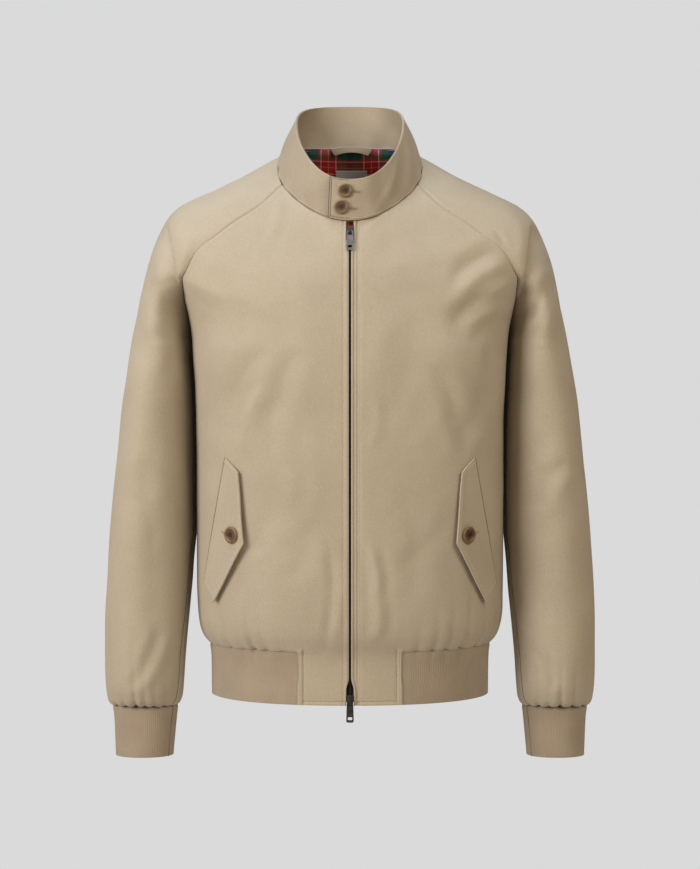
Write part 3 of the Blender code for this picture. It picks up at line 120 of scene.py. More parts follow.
# Zip and its opening
OPENING = 0.0013          # from the middle to each front edge
OPENING_AT_SLIDERS = 0.0044
TOP_OPENING_DOWN = (0.046, 0.030)    # where the wider opening at the top slider ends, and how slowly
HEM_OPENING_UP = (0.032, 0.014)      # where the wider opening at the hem starts, and how slowly
BLOCK_EDGE_X = 0.0606     # where the cloth blocks of the hem meet the rib
BLOCK_GAP = 0.0001
# Collar
RIM_HALF_WIDTH = 0.0655
RIM_FRONT = (-0.0985, -0.0286)   # y, z
RIM_SIDE_Z = 0.0535
RIM_BACK = (0.0760, 0.0815)      # y, z
RIM_SQUARENESS = 2.25
COLLAR_BULGE = 0.0012
COLLAR_OVER_X = 0.0245    # how far the buttoned end passes the middle
COLLAR_UNDER_X = 0.0120
COLLAR_STEP = 0.0029      # from the under layer to the over layer
# Buttons
BUTTON_THICKNESS = 0.0034
BUTTON_HOLE_SPREAD = 0.0017
BUTTON_THREAD = (0.0034, 0.0009, 0.0009)   # length, width and height
BUTTON_THREAD_SINK = 0.0008                # from the button's face to the thread


def table(names, *rows):
    """A table with named columns: one array for each name, one entry for each row."""
    return dict(zip(names.split(), np.array(rows, dtype=float).T))


# Raglan rows, from the neck (0) to the underarm (1). The ridge is the shoulder line and then the
# sleeve's outer side. Slope is the row's rise from front to back where it crosses the ridge.
RIDGE = table(
    "share  x       z        slope",
    (0.00, 0.0880, 0.0034, 0.62),
    (0.15, 0.1303, -0.0148, 0.20),
    (0.31, 0.1735, -0.0349, 0.10),
    (0.42, 0.2030, -0.0492, 0.07),
    (0.50, 0.2213, -0.0643, 0.12),
    (0.575, 0.2350, -0.0905, 0.28),
    (0.63, 0.2405, -0.1060, 0.38),
    (0.75, 0.2515, -0.1450, 0.30),
    (0.88, 0.2583, -0.1810, 0.14),
    (1.00, 0.2645, UNDERARM_Z, 0.00),
)
# The same rows on the front: the middle, the raglan seam, the directions in which the panel reaches
# the seam and the sleeve leaves it (degrees, 0 outwards, 90 towards the side seam), and how far each
# of the sleeve's curves keeps its direction.
FRONT_ROWS = table(
    "middle_y middle_z seam_x seam_y panel_turn sleeve_turn seam_pull ridge_pull",
    (-0.1050, -0.0780, 0.0815, -0.0470, 64, 66, 0.015, 0.016),
    (-0.1140, -0.1000, 0.1053, -0.0720, 36, 38, 0.022, 0.040),
    (-0.1220, -0.1240, 0.1410, -0.0840, 26, 24, 0.027, 0.052),
    (-0.1270, -0.1420, 0.1660, -0.0920, 27, 18, 0.028, 0.060),
    (-0.1300, -0.1570, 0.1820, -0.0920, 34, 8, 0.030, 0.066),
    (-0.1325, -0.1720, 0.1930, -0.0880, 48, -8, 0.030, 0.075),
    (-0.1345, -0.1820, 0.1985, -0.0800, 62, -28, 0.032, 0.082),
    (-0.1375, -0.1990, 0.1985, -0.0540, 78, -58, 0.050, 0.088),
    (-0.1395, -0.2165, 0.1955, -0.0260, 86, -76, 0.086, 0.099),
    (-0.1405, -0.2335, 0.1915, 0.0000, 90, -86, 0.116, 0.104),
)
BACK_ROWS = table(
    "middle_y middle_z seam_x seam_y panel_turn sleeve_turn seam_pull ridge_pull",
    (0.0650, 0.0260, 0.0700, 0.0420, 55, 57, 0.015, 0.014),
    (0.0860, 0.0020, 0.1060, 0.0700, 40, 38, 0.022, 0.036),
    (0.1040, -0.0320, 0.1400, 0.0860, 30, 26, 0.027, 0.048),
    (0.1130, -0.0600, 0.1630, 0.0930, 30, 20, 0.028, 0.056),
    (0.1190, -0.0850, 0.1780, 0.0940, 36, 10, 0.030, 0.064),
    (0.1240, -0.1120, 0.1890, 0.0900, 50, -8, 0.030, 0.072),
    (0.1270, -0.1340, 0.1940, 0.0820, 62, -28, 0.032, 0.080),
    (0.1315, -0.1720, 0.1955, 0.0550, 78, -58, 0.050, 0.086),
    (0.1345, -0.2030, 0.1935, 0.0270, 86, -76, 0.084, 0.097),
    (0.1360, -0.2200, 0.1915, 0.0000, 90, -86, 0.112, 0.101),
)
# Rows of the body below the underarm, down to the hem.
BODY_ROWS = table(
    "z side_x front_y front_z back_y",
    (-0.2480, 0.1893, -0.1415, -0.2500, 0.1365),
    (-0.2800, 0.1875, -0.1420, -0.2800, 0.1365),
    (-0.3300, 0.1866, -0.1420, -0.3300, 0.1340),
    (-0.3900, 0.1866, -0.1410, -0.3900, 0.1300),
    (-0.4500, 0.1866, -0.1400, -0.4500, 0.1275),
    (-0.5100, 0.1862, -0.1390, -0.5100, 0.1265),
    (-0.5450, 0.1846, -0.1375, -0.5455, 0.1255),
    (-0.5620, 0.1818, -0.1350, -0.5630, 0.1235),
    (-0.5720, 0.1777, -0.1310, -0.5735, 0.1200),
    (WAIST_SEAM_Z, 0.1705, -0.1245, -0.5840, 0.1165),
    (-0.6000, 0.1685, -0.1210, -0.6030, 0.1150),
    (HEM_Z, 0.1680, -0.1195, -0.6450, 0.1145),
)
# How square a row's corner is, by the place down the body: 0 would be a straight line and 1 a right
# angle.
SQUARENESS = table(
    "down   share",
    (0.000, 0.60),
    (0.160, 0.60),
    (0.200, 0.62),
    (0.230, 0.65),
    (0.270, 0.72),
    (UNDERARM, 0.80),
    (0.339, 0.80),
    (0.371, 0.78),
    (0.420, 0.73),
    (0.480, 0.68),
    (0.540, 0.65),
    (0.600, 0.63),
    (HEM, 0.63),
)
# Rings of the sleeve below the underarm, down to the cuff.
SLEEVE_RINGS = table(
    "z inner_x inner_y outer_x front_y back_y",
    (-0.2480, 0.1906, 0.0080, 0.2695, -0.0830, 0.0800),
    (-0.3000, 0.1882, 0.0150, 0.2772, -0.0820, 0.0790),
    (-0.3500, 0.1874, 0.0180, 0.2825, -0.0800, 0.0760),
    (-0.4000, 0.1872, 0.0180, 0.2880, -0.0770, 0.0720),
    (-0.4400, 0.1878, 0.0170, 0.2915, -0.0745, 0.0685),
    (-0.4820, 0.1912, 0.0110, 0.2942, -0.0720, 0.0650),
    (-0.5200, 0.1938, 0.0040, 0.2968, -0.0700, 0.0610),
    (-0.5600, 0.1972, -0.0010, 0.2977, -0.0680, 0.0580),
    (-0.6000, 0.2004, -0.0050, 0.2977, -0.0660, 0.0550),
    (-0.6300, 0.2022, -0.0060, 0.2968, -0.0640, 0.0510),
    (-0.6460, 0.2038, -0.0060, 0.2955, -0.0590, 0.0460),
    (CUFF_SEAM_Z, 0.2082, -0.0060, 0.2905, -0.0480, 0.0360),
)
CUFF_RINGS = table(
    "z inner_x outer_x front_y back_y",
    (CUFF_SEAM_Z, 0.2094, 0.2884, -0.0430, 0.0320),
    (-0.6700, 0.2106, 0.2868, -0.0415, 0.0310),
    (-0.6950, 0.2130, 0.2856, -0.0405, 0.0300),
    (CUFF_END_Z, 0.2150, 0.2848, -0.0395, 0.0295),
)
# Folds of the worn cloth, seen from the front: each runs along a line from one end to the other. A
# negative depth is a trough and a positive one a ridge.
FOLD_NAMES = "x z end_x end_z width depth"
RIGHT_FRONT_FOLDS = table(
    FOLD_NAMES,
    (-0.140, -0.300, -0.103, -0.232, 0.012, -0.0035),
    (-0.130, -0.349, -0.103, -0.282, 0.010, 0.0030),
    (-0.092, -0.355, -0.079, -0.277, 0.011, -0.0035),
    (-0.079, -0.277, -0.062, -0.235, 0.011, -0.0030),
    (-0.098, -0.423, -0.115, -0.467, 0.011, -0.0030),
    (-0.026, -0.453, -0.028, -0.570, 0.006, -0.0030),
    (-0.045, -0.437, -0.068, -0.496, 0.012, -0.0025),
)
LEFT_FRONT_FOLDS = table(
    FOLD_NAMES,
    (0.123, -0.144, 0.167, -0.114, 0.010, -0.0040),
    (0.126, -0.165, 0.179, -0.130, 0.009, 0.0040),
    (0.120, -0.200, 0.161, -0.167, 0.010, -0.0040),
    (0.137, -0.202, 0.184, -0.177, 0.009, 0.0030),
    (0.102, -0.253, 0.123, -0.306, 0.010, -0.0040),
    (0.123, -0.306, 0.135, -0.349, 0.010, -0.0035),
    (0.179, -0.253, 0.147, -0.341, 0.009, 0.0030),
    (0.024, -0.465, 0.032, -0.517, 0.007, 0.0035),
    (0.032, -0.517, 0.031, -0.564, 0.007, 0.0035),
    (0.065, -0.400, 0.073, -0.517, 0.014, -0.0030),
)
BACK_FOLDS = table(
    FOLD_NAMES,
    (-0.120, -0.210, -0.060, -0.290, 0.014, -0.0030),
    (-0.150, -0.330, -0.100, -0.450, 0.014, -0.0030),
    (0.135, -0.230, 0.070, -0.300, 0.014, -0.0030),
    (0.145, -0.360, 0.095, -0.490, 0.014, -0.0030),
    (-0.020, -0.420, -0.030, -0.540, 0.012, -0.0025),
    (0.035, -0.450, 0.030, -0.550, 0.012, 0.0025),
)
RIGHT_SLEEVE_FOLDS = table(
    FOLD_NAMES,
    (-0.222, -0.085, -0.209, -0.145, 0.010, -0.0100),
    (-0.227, -0.152, -0.211, -0.201, 0.012, -0.0080),
    (-0.211, -0.201, -0.202, -0.247, 0.012, -0.0080),
    (-0.249, -0.362, -0.244, -0.407, 0.011, -0.0050),
    (-0.244, -0.407, -0.232, -0.460, 0.011, -0.0050),
    (-0.226, -0.319, -0.213, -0.397, 0.012, 0.0040),
    (-0.215, -0.558, -0.249, -0.630, 0.008, 0.0050),
    (-0.228, -0.566, -0.257, -0.627, 0.007, -0.0060),
)
LEFT_SLEEVE_FOLDS = table(
    FOLD_NAMES,
    (0.222, -0.085, 0.207, -0.160, 0.010, -0.0110),
    (0.231, -0.150, 0.209, -0.190, 0.009, -0.0080),
    (0.228, -0.169, 0.218, -0.251, 0.013, 0.0060),
    (0.218, -0.251, 0.207, -0.345, 0.013, 0.0040),
    (0.256, -0.362, 0.234, -0.378, 0.009, -0.0060),
    (0.234, -0.378, 0.218, -0.417, 0.009, -0.0060),
    (0.233, -0.594, 0.242, -0.630, 0.008, -0.0050),
)
# Gathers at the ribs. Share is the place along the row, from the middle of the body, or from the
# sleeve's inner side, to the side seam or to the sleeve's outer side. Height is how far a gather
# runs up from the rib.
GATHER_NAMES = "share depth height"
RIGHT_FRONT_GATHERS = table(
    GATHER_NAMES,
    (0.27, 0.0012, 0.014), (0.36, 0.0022, 0.020), (0.43, 0.0034, 0.026), (0.50, 0.0016, 0.016),
    (0.60, 0.0024, 0.022), (0.73, 0.0018, 0.020), (0.86, 0.0026, 0.024),
)
LEFT_FRONT_GATHERS = table(
    GATHER_NAMES,
    (0.27, 0.0014, 0.014), (0.35, 0.0022, 0.018), (0.43, 0.0024, 0.022), (0.53, 0.0034, 0.030),
    (0.66, 0.0020, 0.022), (0.78, 0.0024, 0.024), (0.89, 0.0022, 0.022),
)
BACK_GATHERS = table(
    GATHER_NAMES,
    (0.10, 0.0022, 0.022), (0.23, 0.0030, 0.028), (0.35, 0.0020, 0.018), (0.47, 0.0032, 0.030),
    (0.60, 0.0022, 0.020), (0.73, 0.0028, 0.026), (0.87, 0.0024, 0.022),
)
RIGHT_CUFF_GATHERS = table(
    GATHER_NAMES,
    (0.27, 0.0020, 0.020), (0.38, 0.0016, 0.016), (0.47, 0.0022, 0.022), (0.56, 0.0034, 0.034),
    (0.67, 0.0022, 0.020), (0.79, 0.0026, 0.018),
)
LEFT_CUFF_GATHERS = table(
    GATHER_NAMES,
    (0.20, 0.0016, 0.016), (0.30, 0.0028, 0.022), (0.41, 0.0016, 0.016), (0.52, 0.0034, 0.036),
    (0.65, 0.0026, 0.024), (0.79, 0.0024, 0.022),
)
BACK_CUFF_GATHERS = table(
    GATHER_NAMES,
    (0.22, 0.0022, 0.020), (0.36, 0.0026, 0.026), (0.50, 0.0030, 0.028), (0.64, 0.0022, 0.020),
    (0.79, 0.0024, 0.022),
)
# Pocket flap, on the wearer's left: a long slanted side sewn to the front, and three free sides.
FLAP_SEWN = ((0.1450, -0.3560), (0.1725, -0.5060))            # x, z of its two ends
FLAP_FREE = ((0.1290, -0.3720), (0.1225, -0.4545), (0.1570, -0.5260))
FLAP_BEND_SHARE = 0.5
FLAP_WIDTHS = (0.0226, 0.0413, 0.0253)    # across it at its upper end, its bend and its lower end
FLAP_CLEAR = 0.0006
FLAP_LIFT = 0.0035
# Where the collar's buttons sit: the way from the middle, and the share of the collar's height.
COLLAR_BUTTONS = ((-0.0053, 0.70), (-0.0094, 0.30))
SLIDER_LENGTH = 0.0130
TOP_SLIDER_Z = -0.0910
BOTTOM_SLIDER_Z = -0.6392
# Hanger loop and label
LOOP_ENDS_X = (-0.0237, 0.0274)
LOOP_WIDTH = 0.0076
LOOP_CLOTH = 0.0014
LOOP_CLEAR = 0.0006
LOOP_NARROW = 0.2         # how much shorter the loop's lower edge is, as a share
LOOP_STAND = 0.0050
LOOP_DROP = 0.0036
LABEL_X = (-0.0180, 0.0215)
LABEL_Z = (0.0025, -0.0270)
LABEL_CLOTH = 0.0009
LABEL_CLEAR = 0.0006
LINING_CLEAR = 0.0012
LINING_BEHIND = SHELL + LINING_CLEAR + 0.0004     # from the back's outer face to the lining
LINING_TOP = 0.0012               # the lining's top edge below the neck seam
# Curves through the tables
CUBIC_REACH = 0.75        # how far a cubic curve's middle goes towards two equal control points
EVEN_REACH = 0.014
EVEN_WEIGHTS = ((-1, 1 / 16), (-0.5, 4 / 16), (0, 6 / 16), (0.5, 4 / 16), (1, 1 / 16))
RAGLAN_KNOTS = RIDGE["share"] * SEAM_LENGTH
BODY_KNOTS = np.concatenate((RAGLAN_KNOTS, UNDERARM + UNDERARM_Z - BODY_ROWS["z"]))
SLEEVE_KNOTS = np.concatenate((RAGLAN_KNOTS, UNDERARM + UNDERARM_Z - SLEEVE_RINGS["z"]))
# How the cloth lies on its form
FOLD_SHARE = 0.55          # how much of the form's folds the fine cloth keeps
SLEEVE_FOLD_SHARE = 0.30   # the same on the sleeves, whose solids carry deeper ones
FOLD_BOW = 0.06            # a crease's bow, as a share of its length
FOLD_SWELL = 0.35          # the swells beside a crease, as a share of its depth
FOLD_FADE = 0.22           # how far past its ends a crease fades out, as a share of its length
DRAPE_FADE = 0.15          # the same for an overhanging edge
DRAPE_EDGE = 0.0015        # how far out from its line such an edge reaches its full drop
RIPPLE = 0.00045           # typical height of the cloth's faint dents and swells
CALM = 0.02                # how slowly they start beside a seam
LINING_RIPPLE = 0.0003
TURN_IN = 0.0024           # seam allowance behind a seam
BACK_TURN_IN = 0.0008      # the same at the back's neck, where the lining starts
LINING_RISE = (0, 0.0006, 0.0036)    # how the lining's top edge runs up behind the collar
COLLAR_ALLOWANCE = 0.005   # how far the collar's base goes on inside the body
COLLAR_END_LIFT = 0.0032   # how far the buttoned end's edge curls off
FLAP_WIDEN = 1.05          # the flap's free edges reach a little past the solid's
FLAP_CURL = 0.0030         # how far a flap's free edge curls off, besides its lift
CUFF_TURN_IN = 0.006       # the sleeve's allowance behind the cuff
GATHER_SPREAD = 0.016      # a gather's half width, as a share of its row
CUFF_GATHER_SPREAD = 0.022
GATHER_GAIN = 1.6          # the fine cloth's gathers over the solid's
SIDE_SEAM_DIP = 0.2        # what a side seam keeps of a seam's dip, from the chest down
RIB_PITCH = 0.0024
RIB_HEIGHT = 0.0004
RIB_SINK = 0.0001          # how far the rib's middle lies under its solid's face
LOOP_COUNT = 201           # points along half the neck seam
COLLAR_MEAN_HEIGHT = 0.055
# Where round the neck the collar's allowance starts, how far it stays from the middle back, and where
# it ends
COLLAR_PART = (-0.96, 0.36, 0.975)
STRIP_THICKNESS = 0.0006
STRIP_PATTERN_AT = (0.020, 0.020)    # where the zip's strips start on their cloth's pattern
# A seam's dip, as depth and width, and the faint swell beside it, as a share of the depth, its
# distance from the seam and its width
SEAM_DIP = (0.0009, 0.0011)
RIB_SEAM_DIP = (0.0008, 0.0020)
COLLAR_SEAM_DIP = (0.0005, 0.0011)
SEAM_SWELL = (0.35, 0.0045, 0.0022)
# Lines pressed into the cloth or raised from it: width, and height over the cloth
LINES = {
    "zip_edge": (0.0007, -0.0005),
    "right_fly_stitch": (0.0011, -0.0005),
    "right_edge_roll": (0.0016, 0.0004),
    "fly_fold": (0.0012, -0.0016),
    "fly_groove": (0.0011, -0.0009),
    "left_fly_stitch": (0.0011, -0.0006),
    "block_strip": (0.0009, -0.0012),
    "hem": (0.0010, -0.0010),
    "sleeve_seam": (0.0010, -0.0012),
    "collar_end": (0.0009, -0.0007),
}
PUCKER = (0.35, 0.0041, 0.0173)      # how much a stitched groove wavers, and over what lengths
RIGHT_ROLL_X = 0.0040                # where the right front's edge roll stands
FLY_CORD = (0.0022, 0.0015, 0.0006)  # the cord's width from the fold, its end's width and its height
STRIP_RAISE = (0.0006, 0.0010)       # the rib's end strip: its edge's width and its height
STRIP_TOP = (0.006, 0.004)           # how far up it goes, and how slowly it ends there
HEM_RAISE = (0.0008, 0.0004)         # the turned-up hem: its edge's width and its height
# Rows of stitches: pitch, length of a stitch and its width
STITCHES = {
    "top": (0.0030, 0.0024, 0.0007),
    "seam": (0.0028, 0.0036, 0.0010),
    # dark bars under the collar's buttoned end: a painted shadow line
    "painted_edge_shadow": (0.0014, 0.0019, 0.0018),
    # dark bars along a flap's sewn edge: a painted shadow line
    "flap_shadow_bars": (0.0014, 0.0019, 0.0013),
    "buttonhole": (0.0008, 0.0010, 0.0011),
}
STITCH_HEIGHT = 0.0006
STITCH_LIFT = 0.0001       # how far a stitch's middle stands over the cloth
STITCH_STEP = 0.0008       # half the distance over which a stitch takes its direction
SHADOW_LINE_BELOW = 0.0012      # from the collar's end edge down to the dark bars along it, a painted shadow line
HOLE_HALF_GAP = 0.0007     # from a buttonhole's slit to its stitches
# Stitched lines, in metres from the middle (the wearer's right, then left) and from the edges
FLY_STITCH_X = (0.0078, 0.0116)
FLY_FOLD_X = (0.0049, 0.0088)
BLOCK_STRIP_X = 0.0548
HEM_STITCH_UP = 0.0036
SLEEVE_SEAM_AT = (0.0250, 0.0270)    # two grooves round the sleeve from its inner side
SLEEVE_LINE_AT = 0.0260              # the stitches between them
CUFF_LINE_AT = 0.0200
RIB_ALLOWANCE = (0.0050, 0.0030)     # how far a rib goes on behind the cloth: inwards, and up
COLLAR_STITCH_IN = 0.0022
FLAP_STITCH_IN = 0.0036
HOLE_LENGTH = 0.0150
TOOTH_PITCH = 0.00125
TOOTH = (0.0058, TOOTH_PITCH * 1.25, 0.0018)      # length, width and height
TOOTH_SHIFT = 0.0007       # a tooth's middle from the jacket's, left and right in turn
TOOTH_BEHIND = SHELL + 0.0013
CHAIN_INSET = 0.004        # how far the teeth end inside the sliders
# Waves and dents round the collar: places and widths along it, and depths
COLLAR_WAVE = 0.0009
COLLAR_BASE_WAVE = 0.0008
COLLAR_DENTS = ((0.87, 0.035, -0.0006), (0.81, 0.035, 0.0004), (0.71, 0.05, -0.0006))
COLLAR_DENT_SLANT = 0.22
COLLAR_UNDER_SINK = 0.0022   # how much deeper the end under the buttoned one lies
EDGE_ROUNDING = 0.0007       # radius at the edges of the collar and the flaps
FLAP_BUTTONHOLE = (0.53, 0.60, 0.28)   # share along the flap, and the shares across it of its ends
RIB_STEPS = (4, 6)           # columns of points across each rib: waistband, cuffs
BUTTONS = ("collar_button_top", "collar_button_bottom", "pocket_button_left", "pocket_button_right")
# The tartan: widths in millimetres of its stripes, from the middle of one dark band to the next
SETT = (
    ("navy", 4.0), ("green", 10.0), ("red", 3.0), ("cream", 1.2), ("red", 8.0), ("yellow", 1.6),
    ("red", 8.0), ("cream", 1.2), ("red", 3.0), ("green", 10.0), ("navy", 4.0),
)
SETT_LENGTH = 0.054
# How far each weave repeats. Poplin's threads are really about 0.25 mm apart, satin's 0.1 mm and a
# twill's lines 0.7 mm: these are drawn coarser, so that they show
WEAVES = {"poplin": 0.0004, "tape": 0.0006, "satin": 0.0006, "twill": 0.0012, "knit": 0.0012}
WAVE_LENGTH = 0.314        # of a wave texture whose scale is 1
# Finer creases of the cloth, on top of the main folds of the form, in the same columns
RIGHT_FRONT_CREASES = table(
    FOLD_NAMES,
    (-0.134, -0.340, -0.110, -0.268, 0.0050, -0.0008),
    (-0.0834, -0.0500, -0.0940, -0.1003, 0.0060, 0.0008),
    (-0.0176, -0.512, -0.0176, -0.558, 0.0060, 0.0012),
    (-0.0705, -0.370, -0.0660, -0.405, 0.0090, 0.0012),
    (-0.060, -0.150, -0.052, -0.300, 0.0200, 0.0012),
    (-0.150, -0.150, -0.120, -0.205, 0.0080, -0.0010),
)
LEFT_FRONT_CREASES = table(
    FOLD_NAMES,
    (0.0118, -0.0885, 0.0411, -0.0591, 0.0045, -0.0012),
    (0.0160, -0.0800, 0.0440, -0.0520, 0.0045, 0.0008),
    (0.1650, -0.2200, 0.1640, -0.2500, 0.0070, -0.0014),
    (0.0320, -0.2900, 0.0260, -0.3400, 0.0070, 0.0010),
    (0.0230, -0.4600, 0.0310, -0.5150, 0.0060, 0.0010),
    (0.0700, -0.1500, 0.0580, -0.2900, 0.0200, -0.0014),
)
BACK_CREASES = table(
    FOLD_NAMES,
    (-0.060, -0.120, 0.010, -0.135, 0.0080, -0.0010),
    (-0.110, -0.180, -0.070, -0.420, 0.0160, 0.0014),
    (0.060, -0.200, 0.080, -0.400, 0.0160, -0.0014),
)
RIGHT_SLEEVE_CREASES = table(
    FOLD_NAMES,
    (-0.222, -0.560, -0.246, -0.622, 0.0080, -0.0004),
    (-0.250, -0.250, -0.262, -0.380, 0.0120, 0.0012),
    (-0.236, -0.440, -0.240, -0.560, 0.0120, -0.0012),
)
LEFT_SLEEVE_CREASES = table(
    FOLD_NAMES,
    (0.232, -0.170, 0.196, -0.218, 0.0045, 0.0010),
    (0.174, -0.090, 0.181, -0.112, 0.0040, -0.0012),
    (0.262, -0.260, 0.250, -0.400, 0.0140, 0.0014),
    (0.233, -0.600, 0.243, -0.632, 0.0050, -0.0012),
)
# Where the sleeve's cap hangs over the sleeve: an edge along a line, how far out beyond it the cloth
# lies deeper, and by how much
DRAPE_NAMES = "x z end_x end_z reach drop"
RIGHT_SLEEVE_DRAPES = table(
    DRAPE_NAMES,
    (-0.2200, -0.0740, -0.2120, -0.1120, 0.016, 0.0034),
    (-0.2105, -0.1120, -0.2020, -0.1500, 0.016, 0.0040),
)
LEFT_SLEEVE_DRAPES = table(
    DRAPE_NAMES,
    (0.2187, -0.0790, 0.2095, -0.1283, 0.030, 0.0050),
    (0.2095, -0.1283, 0.1990, -0.1620, 0.030, 0.0038),
)
# By side, 1 for the wearer's left and -1 for the right: folds, creases, and gathers or drapes
FRONT_TABLES = {
    1: (LEFT_FRONT_FOLDS, LEFT_FRONT_CREASES, LEFT_FRONT_GATHERS),
    -1: (RIGHT_FRONT_FOLDS, RIGHT_FRONT_CREASES, RIGHT_FRONT_GATHERS),
}
SLEEVE_TABLES = {
    1: (LEFT_SLEEVE_FOLDS, LEFT_SLEEVE_CREASES, LEFT_CUFF_GATHERS, LEFT_SLEEVE_DRAPES),
    -1: (RIGHT_SLEEVE_FOLDS, RIGHT_SLEEVE_CREASES, RIGHT_CUFF_GATHERS, RIGHT_SLEEVE_DRAPES),
}
SIDES = ((1, "left"), (-1, "right"))


def smooth(knots, values, places):
    """A smooth curve through the values at the knots that never overshoots them: a monotone cubic."""
    step = np.diff(knots)
    slope = np.diff(values) / step
    before, after = slope[:-1], slope[1:]
    weight_before = 2 * step[1:] + step[:-1]
    weight_after = step[1:] + 2 * step[:-1]
    same_way = before * after > 0
    safe_before = np.where(same_way, before, 1.0)
    safe_after = np.where(same_way, after, 1.0)
    mean = (weight_before + weight_after) / (weight_before / safe_before + weight_after / safe_after)
    tangent = np.concatenate((slope[:1], np.where(same_way, mean, 0.0), slope[-1:]))
    index = np.clip(np.searchsorted(knots, places, side="right") - 1, 0, len(step) - 1)
    width = step[index]
    share = (places - knots[index]) / width
    start, end = values[index], values[index + 1]
    bend = (3 * share**2 - 2 * share**3) * (end - start)
    lead = (share**3 - 2 * share**2 + share) * width * tangent[index]
    trail = (share**3 - share**2) * width * tangent[index + 1]
    return start + bend + lead + trail


def soft(knots, values, places):
    """The smooth curve evened out: each value is a weighted mean of its neighbours on both sides."""
    reach = np.minimum(np.minimum(places - knots[0], knots[-1] - places), EVEN_REACH)
    total = np.zeros(np.shape(places))
    for step, weight in EVEN_WEIGHTS:
        total = total + weight * smooth(knots, values, places + step * reach)
    return total


def cubic(start, start_control, end_control, end, share):
    """Points of a cubic curve, one row for each entry of its ends and one column for each share."""
    rest = 1 - share
    return (
        start[:, None] * rest**3
        + 3 * start_control[:, None] * rest**2 * share
        + 3 * end_control[:, None] * rest * share**2
        + end[:, None] * share**3
    )


def ease(value):
    """Rises smoothly from 0 to 1 as the value does."""
    share = np.clip(value, 0.0, 1.0)
    return share * share * (3 - 2 * share)


def body_column(upper, lower, down):
    """Values at places down the body, from the raglan rows and then the body rows."""
    return soft(BODY_KNOTS, np.concatenate((upper, lower)), down)


def sleeve_column(upper, lower, down):
    """Values at places down the sleeve, from the raglan rows and then the sleeve's rings."""
    return soft(SLEEVE_KNOTS, np.concatenate((upper, lower)), down)


def row_height(y, side_z, slope, middle_y, middle_z):
    """Height along a row: it crosses the ridge at side_z with its slope and bends to its middle."""
    bend = (middle_z - side_z - slope * middle_y) / middle_y**2
    return side_z[:, None] + slope[:, None] * y + bend[:, None] * y**2


def seam(rows, down):
    """The raglan seam seen from above, then the side seam."""
    x = smooth(BODY_KNOTS, np.concatenate((rows["seam_x"], BODY_ROWS["side_x"])), down)
    y = smooth(BODY_KNOTS, np.concatenate((rows["seam_y"], 0 * BODY_ROWS["z"])), down)
    return x, y


def opening_edge(down):
    """How far a front edge stays from the middle: it is wider around both sliders."""
    at_top = 1 - ease((down - TOP_OPENING_DOWN[0]) / TOP_OPENING_DOWN[1])
    at_hem = ease((down - HEM + HEM_OPENING_UP[0]) / HEM_OPENING_UP[1])
    return OPENING + (OPENING_AT_SLIDERS - OPENING) * (at_top + at_hem)


def part_direction(rows, down):
    """The way, seen from above, in which the panel and the sleeve are parted at their seam."""
    turn = np.interp(down, RAGLAN_KNOTS, (rows["panel_turn"] + rows["sleeve_turn"]) / 2)
    turn = np.radians(turn)
    raglan = down <= UNDERARM + 1e-9
    forward = -np.sign(rows["middle_y"][0])
    return np.cos(turn) * raglan, np.sin(turn) * raglan * forward


def panel_grid(rows, down, share, middle_x):
    """Points of the front or back on the wearer's left, from the middle to the seam, row by row. Seen
    from above a row is a cubic curve that leaves the middle sideways and reaches the seam in its turn;
    its height is a quadratic of y."""
    back = rows is BACK_ROWS
    lower_y = BODY_ROWS["back_y"] if back else BODY_ROWS["front_y"]
    lower_z = BODY_ROWS["z"] if back else BODY_ROWS["front_z"]
    middle_y = body_column(rows["middle_y"], lower_y, down)
    middle_z = body_column(rows["middle_z"], lower_z, down)
    side_z = body_column(RIDGE["z"], BODY_ROWS["z"], down)
    slope = body_column(RIDGE["slope"], 0 * BODY_ROWS["z"], down)
    turn = np.radians(body_column(rows["panel_turn"], 90 + 0 * BODY_ROWS["z"], down))
    squareness = soft(SQUARENESS["down"], SQUARENESS["share"], down)
    seam_x, seam_y = seam(rows, down)
    corner_x = seam_x - np.abs(middle_y - seam_y) / np.tan(turn)
    first_x = middle_x + squareness * (corner_x - middle_x)
    last_x = seam_x + squareness * (corner_x - seam_x)
    last_y = seam_y + squareness * (middle_y - seam_y)
    x = cubic(middle_x, first_x, last_x, seam_x, share)
    y = cubic(middle_y, middle_y, last_y, seam_y, share)
    z = row_height(y, side_z, slope, middle_y, middle_z)
    return np.stack((x, y, z), axis=-1)


